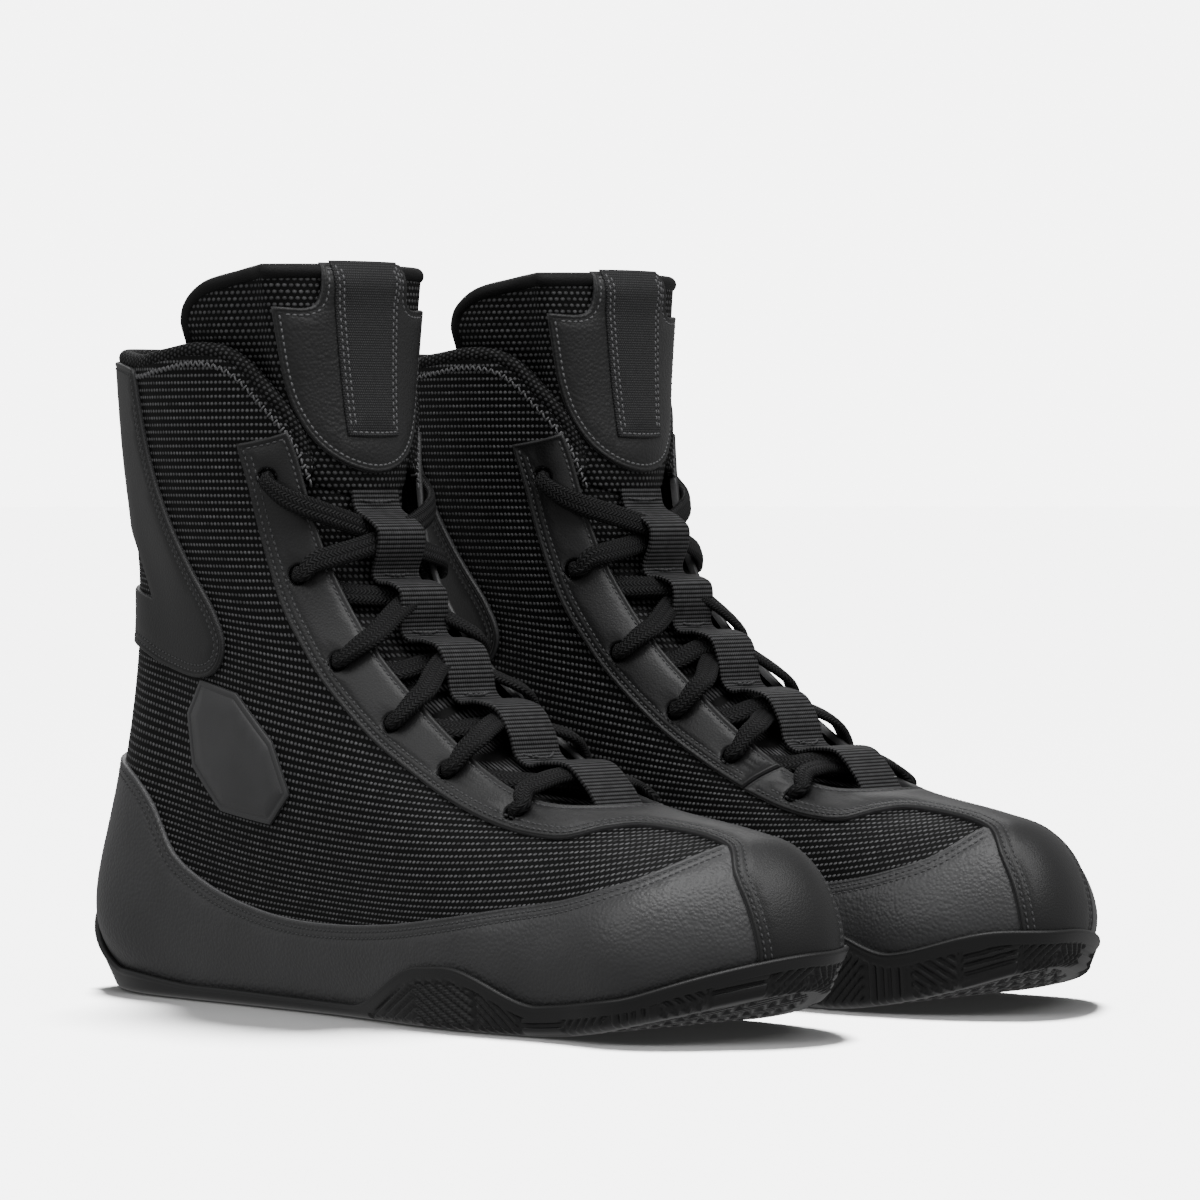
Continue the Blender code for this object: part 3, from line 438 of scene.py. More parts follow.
def woven(name, across, along, gap, thread, roughness, depth, stagger=0.0, size=(.42, .36)):
    """Rows of small raised beads of thread; across and along are their pitches in mm in the UV map."""
    made, tree, shader = new_material(name, gap, roughness, .15)
    x, y = uv_map(tree)
    y = operation(tree, "DIVIDE", y, along)
    row = operation(tree, "FLOOR", y)
    shift = operation(tree, "MULTIPLY", operation(tree, "MODULO", row, 2.0), stagger)
    x = operation(tree, "ADD", operation(tree, "DIVIDE", x, across), shift)
    squares = []
    for place, reach in zip((x, y), size):
        off = operation(tree, "SUBTRACT", operation(tree, "FRACT", place), .5)
        off = operation(tree, "DIVIDE", off, reach)
        squares.append(operation(tree, "MULTIPLY", off, off))
    square = operation(tree, "ADD", *squares)
    inside_bead = operation(tree, "MAXIMUM", operation(tree, "SUBTRACT", 1.0, square), 0.0)
    bead = operation(tree, "SQRT", inside_bead)
    swing = 1.6 if across > 1 else .7
    # Painted light in the colour: each bead's dome top gets the bright thread colour as a painted
    # highlight, and the gap between beads stays near black as painted shade; the noise only varies it at
    # random.
    lit = operation(tree, "ADD", operation(tree, "MULTIPLY", noise(tree, 2.6), swing), .75 - swing / 2)
    lit = operation(tree, "MINIMUM", operation(tree, "MULTIPLY", bead, lit), 1.0)
    tree.links.new(mixed_colour(tree, lit, gap, thread), shader.inputs["Base Color"])
    add_bump(tree, shader, bead, depth * MM)
    return made


def braided(name, colour, roughness):
    """A flat braid: slanting ridges that meet in chevrons down each column of threads."""
    made, tree, shader = new_material(name, colour, roughness, .15)
    x, y = uv_map(tree)
    column = operation(tree, "FRACT", operation(tree, "DIVIDE", x, 2.4))
    slant = operation(tree, "ABSOLUTE", operation(tree, "SUBTRACT", column, .5))
    slope = operation(tree, "MULTIPLY", slant, 1.5)
    turn = operation(tree, "ADD", operation(tree, "DIVIDE", y, 1.25), slope)
    wave = operation(tree, "SINE", operation(tree, "MULTIPLY", turn, 2 * math.pi))
    ridge = operation(tree, "MULTIPLY", operation(tree, "ADD", wave, 1.0), .5)
    rope = operation(tree, "SINE", operation(tree, "MULTIPLY", column, math.pi))
    height = operation(tree, "MULTIPLY", ridge, operation(tree, "SQRT", operation(tree, "ABSOLUTE", rope)))
    # Painted shade: the braid's grooves are painted a quarter as bright as its ridges, following the same
    # height as the bump.
    dark = tuple(.25 * c for c in colour)
    tree.links.new(mixed_colour(tree, height, dark, colour), shader.inputs["Base Color"])
    add_bump(tree, shader, height, .45 * MM)
    return made


def matt(name, colour, roughness, depth=.15, specular=.2):
    """A plain surface with a fine grain: cloth, thread or rubber."""
    made, tree, shader = new_material(name, colour, roughness, specular)
    add_bump(tree, shader, noise(tree, .5), depth * MM)
    return made


def grey(value):
    """A black goods' colour: a neutral grey with a trace of blue."""
    return (value, value, value * 1.03)


def make_finishes():
    # gap is near black as painted shade between the woven beads; the woven finishes' thread colours below
    # are the beads' painted highlights over the threads' own dark tone.
    gap = grey(.0008)
    return {
        "grained": leather("grained_leather_look", grey(.042), .46, 1.05, .17, .5),
        "shield": leather("shield_leather_look", grey(.015), .50, 1.05, .17),
        "smooth": leather("smooth_leather_look", grey(.0145), .46, .65, .06, .4),
        "film": leather("badge_film_look", grey(.050), .40, .5, .015, cut_edge=1.0),
        "mesh": woven("fine_mesh_look", 1.75, 2.2, gap, grey(.155), .6, .5, 0, (.42, .27)),
        "coarse": woven("coarse_mesh_look", 2.2, 2.0, gap, grey(.105), .65, .6, .5, (.40, .34)),
        "knit": woven("collar_knit_look", 1.5, 1.7, gap, grey(.055), .7, .35, .5),
        "binding": matt("binding_look", grey(.0055), .6),
        "webbing": woven("webbing_look", .95, 1.35, gap, grey(.088), .6, .35, 0, (.62, .42)),
        "strip": woven("strip_look", .8, .8, grey(.024), grey(.062), .6, .12, .5),
        "lace": braided("lace_look", grey(.025), .65),
        "thread": matt("thread_look", grey(.13), .5),
        "dark_thread": matt("dark_thread_look", grey(.070), .6),
        "lining": woven("lining_look", 1.6, 1.6, gap, grey(.006), .85, .3, .5),
        "rubber": matt("sole_rubber_look", grey(.014), .42, .05, .4),
        "insole": matt("insole_look", grey(.006), .9),
    }


# ---------------------------------------------------------------- making meshes

class Boot:
    """One boot's name, side, finishes and the threads collected for each of its bodies."""

    def __init__(self, name, side, finishes):
        self.name, self.side, self.finishes = name, side, finishes
        self.body = f"{name}_boot"
        self.tongue = f"{name}_tongue_top"
        self.threads = {}

    def add(self, name, points, faces, finish, slot, uv=None, body=None, stands_for=(), cut=None):
        """A mesh object from boot coordinates; faces are turned over on the mirrored boot."""
        mesh = bpy.data.meshes.new(f"{self.name}_{name}_piece")
        ordered = [tuple(reversed(f)) for f in faces] if self.side > 0 else [tuple(f) for f in faces]
        mesh.from_pydata(to_world(points, self.side).tolist(), [], ordered)
        if uv is not None:
            layer = mesh.uv_layers.new(name="UVMap")
            corner = np.zeros(len(mesh.loops), np.int32)
            mesh.loops.foreach_get("vertex_index", corner)
            layer.data.foreach_set("uv", np.asarray(uv, np.float32)[corner].ravel())
        if cut is not None:
            edge = mesh.attributes.new("cut_edge", "FLOAT", "POINT")
            edge.data.foreach_set("value", np.asarray(cut, np.float32))
        mesh.shade_smooth()
        mesh.materials.append(self.finishes[finish])
        made = bpy.data.objects.new(mesh.name, mesh)
        bpy.context.scene.collection.objects.link(made)
        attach(made, body or self.body)
        if stands_for:
            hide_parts(*(f"{self.name}_{node}" for node in stands_for))
        return made


def inside(points, loop):
    """Which points lie in a closed loop, by counting crossings."""
    a, b = loop, np.roll(loop, -1, 0)
    x, y = points[:, :1], points[:, 1:2]
    crosses = (a[:, 1] > y) != (b[:, 1] > y)
    rise = np.where(b[:, 1] == a[:, 1], 1e-9, b[:, 1] - a[:, 1])
    at = a[:, 0] + (y - a[:, 1]) * (b[:, 0] - a[:, 0]) / rise
    return (crosses & (x < at)).sum(axis=1) % 2 == 1


def tree_of(points):
    tree = KDTree(len(points))
    for k, point in enumerate(points):
        tree.insert(point if len(point) == 3 else (*point, 0), k)
    tree.balance()
    return tree


def clear_of(points, tree, distance):
    return np.array([tree.find(p if len(p) == 3 else (*p, 0))[2] >= distance for p in points], bool)


def level_rows(flat, points, v):
    """UV map whose rows follow the sole low down and lie level on the shaft."""
    level = blend(v, ((.45, 0), (.75, 1)))
    return np.stack([flat[:, 0], flat[:, 1] * (1 - level) + (points[:, 2] + 5) * level], axis=1)


PLAIN_RIM = ((0, .5), (.25, .85), (.75, 1.0))
PIPED_RIM = ((0, .45), (.2, .9), (.6, 1.12), (1.05, 1.05), (1.4, .86))
GROOVE, GROOVE_WIDTH = .30, .60


class Panel:
    """A piece cut to an outline, with a rounded rim and pressed-in stitch rows."""

    def __init__(self, layout, outline, corners=(), holes=(), spacing=2.0, cell=3.6, rim=PIPED_RIM):
        self.layout = layout
        self.loop, self.knot = layout.outline(outline, corners, spacing)
        self.holes = [np.asarray(hole) for hole in holes]
        self.points, self.heights, self.edges = [], [], []
        self.cell = cell
        self.total = 0
        self.solid = surface(*layout.place(self.loop))
        self.near = tree_of(self.solid)
        for distance, height in rim:
            self.row(distance, height)
        for hole in self.holes:
            for distance, height in PLAIN_RIM:
                ring = layout.inset(hole[::-1], distance) if distance else hole[::-1]
                self.put(ring, np.full(len(ring), height), closed=True)

    def put(self, flat, heights, closed):
        start = self.total
        self.points.append(flat)
        self.heights.append(np.asarray(heights, float))
        count = len(flat)
        self.edges += [(start + k, start + k + 1) for k in range(count - 1)]
        if closed:
            self.edges.append((start + count - 1, start))
        self.total += count

    def moved_in(self, distance):
        """The outline moved inward, and which of its points stay clear of the outline."""
        if not distance:
            return self.loop, np.ones(len(self.loop), bool)
        flat = self.layout.inset(self.loop, distance)
        solid = surface(*self.layout.place(flat))
        return flat, clear_of(solid, self.near, distance * .9)

    def runs(self, distance, span):
        """Stretches of the moved-in outline that lie in the span of outline knots and stay clear."""
        flat, keep = self.moved_in(distance)
        if span is not None:
            low, high = span
            knot = np.where(self.knot < low, self.knot + self.knot.max() + 1, self.knot) if low > high \
                else self.knot
            top = high + self.knot.max() + 1 if low > high else high
            keep = keep & (knot >= low) & (knot <= top)
        if keep.all():
            return [flat], True
        start = int(np.argmin(keep))
        flat, keep = np.roll(flat, -start, 0), np.roll(keep, -start)
        stretches, current = [], []
        for point, good in zip(flat, keep):
            if good:
                current.append(point)
            elif current:
                stretches.append(np.array(current))
                current = []
        if current:
            stretches.append(np.array(current))
        return [s for s in stretches if len(s) > 2], False

    def row(self, distance, height, span=None):
        stretches, closed = self.runs(distance, span)
        for stretch in stretches:
            self.put(stretch, np.full(len(stretch), height), closed)

    def stitched(self, boot, distance, base, thick, span=None, body=None, depth=None,
                 finish="dark_thread", puff=None):
        """Presses a groove at a distance from the edge and lays a row of stitches in it."""
        for offset, height in ((-GROOVE_WIDTH, 1.0), (0, 1.0 - GROOVE / thick), (GROOVE_WIDTH, 1.0)):
            self.row(distance + offset, height, span)
        stretches, closed = self.runs(distance, span)
        for stretch in stretches:
            line = np.vstack([stretch, stretch[:1]]) if closed else stretch
            u, v = self.layout.place(line)
            low = base if depth is None else depth(u, v)
            if puff is not None:
                low = low + puff(u, v)
            sew(boot, lifted(u, v, low + thick - GROOVE), normals(u, v), body or boot.body, finish)

    def build(self, boot, name, finish, slot, base=0.0, thick=LEATHER, sink=.5, depth=None, body=None,
              stands_for=(), puff=None):
        flat, heights = np.vstack(self.points), np.concatenate(self.heights)
        cell = self.cell
        low, high = self.loop.min(0), self.loop.max(0)
        xs, ys = np.arange(low[0], high[0], cell), np.arange(low[1], high[1], cell * .87)
        grid = np.array([(x + (k % 2) * cell / 2, y) for k, y in enumerate(ys) for x in xs])
        grid = grid[inside(grid, self.loop)]
        for hole in self.holes:
            grid = grid[~inside(grid, hole)]
        if len(grid):
            grid = grid[clear_of(grid, tree_of(flat), cell * .55)]
        flat = np.vstack([flat, grid])
        heights = np.concatenate([heights, np.ones(len(grid))])
        result = delaunay_2d_cdt([tuple(p) for p in flat], self.edges, [], 0, 1e-4)
        verts = np.array([tuple(p) for p in result[0]])
        source = [min(ids) if ids else -1 for ids in result[3]]
        height = np.array([heights[k] if k >= 0 else 1.0 for k in source])
        triangles = np.array([tuple(f) for f in result[2]])
        middle = verts[triangles].mean(axis=1)
        keep = inside(middle, self.loop)
        for hole in self.holes:
            keep &= ~inside(middle, hole)
        triangles = triangles[keep]
        u, v = self.layout.place(verts)
        bottom = base + np.zeros(len(u)) if depth is None else depth(u, v)
        top = bottom + thick * height
        if puff is not None:
            top = top + puff(u, v)
        points = lifted(u, v, top)
        cut = np.clip((.70 - height) / .25, 0, 1)
        faces = [tuple(t) for t in triangles]
        uv = level_rows(verts, points, v)
        walls = [self.loop, *(hole[::-1] for hole in self.holes)]
        for loop in walls:
            wu, wv = self.layout.place(loop)
            floor = base + np.zeros(len(wu)) if depth is None else depth(wu, wv)
            rise = 0 if puff is None else puff(wu, wv)
            rim = lifted(wu, wv, floor + thick * .5 + rise)
            foot = lifted(wu, wv, floor - sink)
            start, n = len(points), len(loop)
            points = np.vstack([points, rim, foot])
            uv = np.vstack([uv, loop, loop])
            cut = np.concatenate([cut, np.ones(n), np.zeros(n)])
            faces += [(start + k, start + n + k, start + n + (k + 1) % n, start + (k + 1) % n)
                      for k in range(n)]
        return boot.add(name, points, faces, finish, slot, uv, body, stands_for, cut)


def mirrored(outline):
    return [(-u, v) for u, v in reversed(outline)]


def mirrored_corners(corners, count):
    return tuple(count - 1 - k for k in corners)


def both_sides(outline, corners):
    """The outline and its corners for the outer side, and turned over for the inner side."""
    return (("lateral", outline, corners),
            ("medial", mirrored(outline), mirrored_corners(corners, len(outline))))


def turned(faces):
    return [f[::-1] for f in faces]


def running_length(points):
    """The length along a line at each of its points."""
    return np.concatenate([[0], np.cumsum(np.linalg.norm(np.diff(points, axis=0), axis=1))])


def resample(points, step):
    """The length at each point of a line, and evenly spaced lengths at about the given step."""
    lengths = running_length(points)
    count = max(1, round(lengths[-1] / step))
    return lengths, (np.arange(count) + .5) * lengths[-1] / count


def at_length(lengths, values, wanted):
    return np.stack([np.interp(wanted, lengths, values[:, k]) for k in range(values.shape[1])], axis=1)


STITCH_SIDES = 6
STITCH_RINGS = ((-.5, .45, -.75), (-.38, .95, -.1), (0, 1.0, .35), (.38, .95, -.1), (.5, .45, -.75))


def sew(boot, line, up, body, finish="thread", pitch=STITCH_PITCH, length=STITCH_LENGTH,
        radius=STITCH_RADIUS):
    """Lays stitches end to end along a line of points on a surface."""
    lengths, centres = resample(line, pitch)
    middle = at_length(lengths, line, centres)
    ahead = at_length(lengths, line, np.minimum(centres + .5, lengths[-1]))
    behind = at_length(lengths, line, np.maximum(centres - .5, 0))
    normal = at_length(lengths, up, centres)
    add_stitches(boot, middle, ahead - behind, normal, body, finish, length, radius)


def add_stitches(boot, middle, along, normal, body, finish, length, radius):
    along = along / np.linalg.norm(along, axis=1, keepdims=True)
    across = np.cross(along, normal)
    across /= np.linalg.norm(across, axis=1, keepdims=True)
    normal = np.cross(across, along)
    rings = []
    for shift, size, rise in STITCH_RINGS:
        for k in range(STITCH_SIDES):
            angle = 2 * math.pi * k / STITCH_SIDES
            side_way = math.cos(angle) * size * radius
            up_way = (math.sin(angle) * size + rise) * radius
            rings.append(middle + along * shift * length + across * side_way + normal * up_way)
    points = np.stack(rings, axis=1)
    boot.threads.setdefault((body, finish), []).append(points.reshape(-1, 3))


def make_threads(boot):
    """Every stitch of one colour on one body becomes one object."""
    per, rings = len(STITCH_RINGS) * STITCH_SIDES, len(STITCH_RINGS)
    pattern = []
    for r in range(rings - 1):
        for k in range(STITCH_SIDES):
            n = (k + 1) % STITCH_SIDES
            pattern.append((r * STITCH_SIDES + k, r * STITCH_SIDES + n, (r + 1) * STITCH_SIDES + n,
                            (r + 1) * STITCH_SIDES + k))
    for (body, finish), groups in boot.threads.items():
        points = np.vstack(groups)
        faces = [tuple(start + k for k in face) for start in range(0, len(points), per)
                 for face in pattern]
        boot.add(f"{finish}_on_{body.split('_', 1)[1]}", points, faces, finish, "grained_leather",
                 body=body)


def sweep(path, side, up, profile, widths=None):
    """A closed profile of (across, up) points carried along a path: points, faces and a UV map in mm."""
    path, side, up = (np.asarray(x, float) for x in (path, side, up))
    profile = np.asarray(profile, float)
    count, around = len(path), len(profile)
    widths = np.ones((count, 2)) if widths is None else widths
    a = profile[None, :, 0] * widths[:, :1]
    b = profile[None, :, 1] * widths[:, 1:]
    points = path[:, None] + side[:, None] * a[..., None] + up[:, None] * b[..., None]
    lengths = running_length(path)
    seam = np.vstack([profile, profile[:1]])
    girth = running_length(seam)[:-1]
    uv = np.stack(np.broadcast_arrays(girth[None, :], lengths[:, None]), axis=-1)
    faces = []
    for i in range(count - 1):
        for k in range(around):
            n = (k + 1) % around
            faces.append((i * around + k, (i + 1) * around + k, (i + 1) * around + n, i * around + n))
    faces.append(tuple(range(around)))
    faces.append(tuple((count - 1) * around + k for k in reversed(range(around))))
    return points.reshape(-1, 3), faces, uv.reshape(-1, 2)


def oval(width, height, sides=14, square=1.0):
    """An oval profile, flatter on its broad sides when square is under 1."""
    angle = np.linspace(0, 2 * math.pi, sides, endpoint=False)
    c, s = np.cos(angle), np.sin(angle)
    return np.stack([np.sign(c) * np.abs(c) ** square * width / 2,
                     np.sign(s) * np.abs(s) ** square * height / 2], axis=1)


def smooth_path(points, step):
    """A smooth curve through the points (last axis any size), sampled about every step."""
    points = np.asarray(points, float)
    padded = np.vstack([2 * points[0] - points[1], points, 2 * points[-1] - points[-2]])
    out = []
    for i in range(1, len(padded) - 2):
        p0, p1, p2, p3 = padded[i - 1:i + 3]
        m1, m2 = (p2 - p0) / 2, (p3 - p1) / 2
        count = max(2, int(np.linalg.norm((p2 - p1)[:3]) / step))
        for k in range(count):
            t = k / count
            out.append(p1 * (2 * t ** 3 - 3 * t ** 2 + 1) + m1 * (t ** 3 - 2 * t ** 2 + t)
                       + p2 * (3 * t ** 2 - 2 * t ** 3) + m2 * (t ** 3 - t ** 2))
    out.append(padded[-2])
    return np.array(out)


def tangents(path):
    along = np.gradient(path, axis=0)
    return along / np.linalg.norm(along, axis=1, keepdims=True)


def unit(vectors):
    return vectors / np.linalg.norm(vectors, axis=-1, keepdims=True)


# ---------------------------------------------------------------- the upper

def front_rise(u):
    """The collar's two front ends stand a little prouder."""
    return blend(to_front(u), ((.76, 0), (.85, .5)))


def quarters(boot):
    """The mesh halves, from the back seam to the toe and up to the collar's edge."""
    throat = [*THROAT_EDGE, (.88, .405), (.993, .405)]
    toe = [(.993, v) for v in (BOTTOM, .10, .18, .25, .31, .36)]
    outline = [(.002, BOTTOM), (.16, BOTTOM), (.40, BOTTOM), (.68, BOTTOM), (.86, BOTTOM), *toe,
               *reversed(throat), (.80, .935), *reversed(COLLAR[1:]), (.002, 1.0)]
    sharp = (0, 5, 11, len(outline) - 1)

    def proud(u, v):
        return front_rise(u) * blend(v, ((.90, 0), (.96, 1.0)))

    for label, edge, corners in both_sides(outline, sharp):
        panel = Panel(HEEL, edge, corners, spacing=3.0, cell=4.2, rim=((0, .5), (.8, 1.0)))
        panel.build(boot, f"mesh_quarter_{label}", "mesh", "mesh_fabric", FABRIC_TOP - FABRIC, FABRIC,
                    stands_for=(f"mesh_quarter_{label}",), puff=proud, sink=.6)


def rands(boot):
    outline = [(.004, HIDDEN_EDGE), (.16, HIDDEN_EDGE), (.40, HIDDEN_EDGE), (.68, HIDDEN_EDGE),
               (.86, HIDDEN_EDGE), (.978, HIDDEN_EDGE), (.978, .10), (.976, .18), (.976, .25), (.965, .293),
               *reversed(RAND_TOP[:-1]), (.004, .371)]
    last, tip = len(outline) - 1, 9
    spans = {"lateral": (tip, last), "medial": (0, last - tip)}
    for label, edge, corners in both_sides(outline, (0, 5, tip, last)):
        panel = Panel(HEEL, edge, corners)
        for distance in (FIRST_ROW, SECOND_ROW):
            panel.stitched(boot, distance, 0, LEATHER, spans[label])
        panel.build(boot, f"rand_{label}", "grained", "grained_leather", stands_for=(f"rand_{label}",))


def eyelet_holes(side, rows):
    return [FRONT.circle(1 - side * (1 - u), v, EYELET_RADIUS) for u, v in (EYELETS[k] for k in rows)]


def over_the_rand(u, v):
    """The toe strip lies over the rand's front edges."""
    return blend(v, ((.26, 1.0), (.33, 0)))


def eyestays(boot):
    """The toe strip runs up into the outer eyestay; the inner eyestay butts on it near the lowest row."""
    low_outer, low_inner = EYESTAY_SEAM
    inner_foot = [(2 - u, v) for u, v in EYESTAY_OUTER if v < low_outer[1]]
    inner_throat = [(2 - u, v) for u, v in EYESTAY_INNER if v < low_inner[1]]
    outline = [*EYESTAY_OUTER, *reversed(inner_foot), (2 - low_outer[0], low_outer[1]),
               (2 - low_inner[0], low_inner[1]), *inner_throat, (1.0, .462), *reversed(EYESTAY_INNER)]
    toe = len(EYESTAY_OUTER)
    seam = toe + len(inner_foot)
    count = len(outline)
    panel = Panel(FRONT, outline, (0, toe - 1, toe, seam, seam + 1, count - 1),
                  eyelet_holes(1, range(6)) + eyelet_holes(-1, (5,)), cell=3.2)
    for distance in (2.0, 4.0):
        panel.stitched(boot, distance, 0, LEATHER, (0, toe - 1.2), puff=over_the_rand)
        panel.stitched(boot, distance, 0, LEATHER, (toe + .2, seam), puff=over_the_rand)
    panel.stitched(boot, 2.0, 0, LEATHER, (seam + 1, count - 1))
    panel.stitched(boot, 2.0, 0, LEATHER, (count - 1, count - .02))
    panel.build(boot, "toe_strip_and_lateral_eyestay", "smooth", "smooth_leather", puff=over_the_rand,
                stands_for=("toe_strip_and_lateral_eyestay",), sink=1.2)
    gap = .003
    top = [(u, v) for u, v in EYESTAY_OUTER if v > low_outer[1]]
    throat = [(u, v) for u, v in EYESTAY_INNER if v > low_inner[1]]
    upper = [*top, (low_outer[0], low_outer[1] + gap), (low_inner[0], low_inner[1] + gap),
             *reversed(throat)]
    upper = [(2 - u, v) for u, v in reversed(upper)]
    count = len(upper)
    panel = Panel(FRONT, upper, mirrored_corners((0, len(top), len(top) + 1, count - 1), count),
                  eyelet_holes(-1, range(5)), cell=3.2)
    inner_end = len(throat)
    panel.stitched(boot, 2.0, 0, LEATHER, (0, inner_end - 1))
    for distance in (2.0, 4.0):
        panel.stitched(boot, distance, 0, LEATHER, (inner_end + 1, count - 1))
    panel.build(boot, "medial_eyestay", "smooth", "smooth_leather", stands_for=("medial_eyestay",))


def ankle_wrap(boot):
    outline = [*reversed(WRAP_EDGE), *[(-u, v) for u, v in WRAP_EDGE]]
    window = [*WRAP_WINDOW, *[(-u, v) for u, v in reversed(WRAP_WINDOW)]]
    hole, _ = HEEL.outline(window, (0, len(window) - 1), 2.0)
    half = len(WRAP_EDGE)
    panel = Panel(HEEL, outline, (half - 1, half), (hole,))
    panel.stitched(boot, 2.1, 0, LEATHER)
    panel.stitched(boot, 4.0, 0, LEATHER, (0, half - 1.5))
    panel.stitched(boot, 4.0, 0, LEATHER, (half + .5, 2 * half - 1))
    panel.build(boot, "ankle_wrap", "smooth", "smooth_leather", stands_for=("ankle_wrap",))


def badges(boot):
    """Plain eight-sided patches with a raised middle."""
    border = ((0, .3), (.25, .68), (1.5, .70), (1.9, .48), (2.3, .62), (2.8, 1.0))
    for label, edge in (("lateral", BADGE), ("medial", mirrored(BADGE))):
        panel = Panel(HEEL, edge, tuple(range(len(BADGE))), rim=border)
        panel.build(boot, f"badge_{label}", "film", "badge_film", thick=BADGE_FILM, sink=.4,
                    stands_for=(f"badge_{label}",))


def collar_places():
    return [*((-u, v) for u, v in reversed(COLLAR)), *COLLAR[1:]]


def collar_roll(boot):
    """The mesh folds over a padded edge, with an overlock zigzag under it."""
    flat = smooth_path(HEEL.flat(collar_places()), 2.0)
    u, v = HEEL.place(flat)
    path = lifted(u, v, -2.4 + front_rise(u))
    normal = normals(u, v)
    side = unit(np.cross(normal, tangents(path)))
    ends = np.minimum(np.arange(len(path)), np.arange(len(path))[::-1]) / 3.0
    fade = blend(ends, ((0, .55), (1, 1)))
    points, faces, uv = sweep(path, side, normal, oval(5.4, 5.2, 18), np.stack([fade, fade], 1))
    made = boot.add("collar_roll", points, faces, "knit", "collar_knit", uv,
                    stands_for=("collar_binding",))
    below = flat - np.array((0, ZIGZAG_DROP))
    lengths = running_length(below)
    along = np.arange(0, lengths[-1], ZIGZAG_STEP)
    x, y = (np.interp(along, lengths, below[:, k]) for k in range(2))
    y = y + np.where(np.arange(len(along)) % 2, ZIGZAG_REACH, -ZIGZAG_REACH)
    u, v = HEEL.place(np.stack([x, y], 1))
    points = lifted(u, v, FABRIC_TOP + .12 + front_rise(u))
    middle, span = (points[1:] + points[:-1]) / 2, points[1:] - points[:-1]
    add_stitches(boot, middle, span, normals(u, v)[1:], boot.body, "thread", 2.0, .34)


def back_seam(boot):
    """A narrow ridge where the two mesh halves meet at the heel."""
    v = np.linspace(.36, .99, 60)
    path = lifted(0 * v, v, FABRIC_TOP + .1)
    normal = normals(0 * v, v)
    side = unit(np.cross(normal, tangents(path)))
    points, faces, uv = sweep(path, side, normal, oval(2.6, 1.0, 10))
    boot.add("back_seam", points, faces, "binding", "binding_tape", uv)


def lining(boot):
    """The knitted inside, from under the collar's roll down to the footbed."""
    top = [(u, v - .004) for u, v in COLLAR]
    throat = [*THROAT_EDGE, (.88, .40), (.990, .395)]
    half = [*reversed(throat), (.80, .935), *reversed(top[1:])]
    nose = [(.990, v) for v in (.04, .12, .20, .28, .34)]
    outline = [(0, .04), (.26, .04), (.55, .04), (.80, .04), *nose, *half, (0, .996),
               *mirrored(half), *mirrored(nose), (-.80, .04), (-.55, .04), (-.26, .04)]
    count = len(outline)

    def depth(u, v):
        front = to_front(u)
        edge = np.interp(front, [c[0] for c in COLLAR], [c[1] for c in COLLAR])
        return blend((edge - v) * 190, ((0, -4.2), (14, -7.4)))

    panel = Panel(HEEL, outline, (4, 9, count - 9, count - 4), spacing=4.0, cell=6.0, rim=((0, 1.0),))
    panel.build(boot, "lining", "lining", "lining_cloth", 0, 0.001, sink=0, depth=depth,
                stands_for=("lining",))


# ---------------------------------------------------------------- tongue

def tongue_depth(u, v):
    """Depth of the tongue's outside: deep under the quarters, near the surface in the throat."""
    u = to_front(u)
    front = blend(v, ((.93, TONGUE_FRONT), (1.0, TONGUE_TOP_FRONT)))
    wing = blend(v, ((1.04, TONGUE_WING), (1.12, TONGUE_TOP_WING)))
    t = blend(u, ((.72, 0), (.93, 1)))
    return wing + (front - wing) * t


def lower_tongue_depth(u, v):
    return np.minimum(tongue_depth(u, v), tongue_depth(u, np.minimum(v, .955))) - .35


def add_thickness(made, thickness):
    shell = made.modifiers.new("thickness", "SOLIDIFY")
    shell.thickness = thickness * MM
    shell.offset = -1


def tongues(boot):
    side = [(.90, .40), (.80, .43), (.70, .50), (.62, .60), (.60, .72), (.62, .85), (.65, .96)]
    top = [(.70, .985), (.80, .985), (.90, .985)]
    outline = [(1.0, .40), *[(2 - u, v) for u, v in side], *[(2 - u, v) for u, v in top], (1.0, .985),
               *reversed(top), *reversed(side)]
    panel = Panel(FRONT, outline, (), spacing=3.0, cell=3.6, rim=((0, .6), (.6, 1.0)))
    made = panel.build(boot, "tongue_under_the_laces", "coarse", "tongue_mesh", 0, SHEET, sink=.2,
                       depth=lambda u, v: lower_tongue_depth(u, v) - SHEET, stands_for=("tongue_lower",))
    add_thickness(made, TONGUE_LOWER_SHELL)
    low = [(.505, 1.0), (.65, .995), (.8, .975), (.9, .958)]
    outline = [*low, (1.0, .953), *[(2 - u, v) for u, v in reversed(low)],
               *[(2 - u, v) for u, v in TONGUE_TOP], *reversed(TONGUE_TOP[:-1])]
    panel = Panel(FRONT, outline, (0, 2 * len(low)), spacing=2.5, cell=3.6, rim=((0, .6), (.6, 1.0)))
    made = panel.build(boot, "tongue_top_mesh", "coarse", "tongue_mesh", 0, SHEET, sink=.2,
                       depth=lambda u, v: tongue_depth(u, v) - SHEET, body=boot.tongue,
                       stands_for=("tongue_upper",))
    add_thickness(made, TONGUE_TOP_SHELL)
    edge = [(.497, 1.035), *TONGUE_TOP]
    places = [*edge, *[(2 - u, v) for u, v in reversed(edge)][1:]]
    flat = smooth_path(FRONT.flat(places), 2.0)
    u, v = FRONT.place(flat)
    path = lifted(u, v, tongue_depth(u, v) - 2.0)
    normal = normals(u, v)
    side = unit(np.cross(normal, tangents(path)))
    points, faces, uv = sweep(path, side, normal, oval(5.4, 5.8, 20))
    boot.add("tongue_rolled_binding", points, faces, "binding", "binding_tape", uv,
             body=boot.tongue, stands_for=("tongue_binding",))


def shield_depth(u, v):
    over_the_binding = blend(v, ((1.165, 0), (1.188, 1.0))) - blend(v, ((1.196, 0), (1.217, 2.6)))
    return tongue_depth(u, v) + .1 + over_the_binding


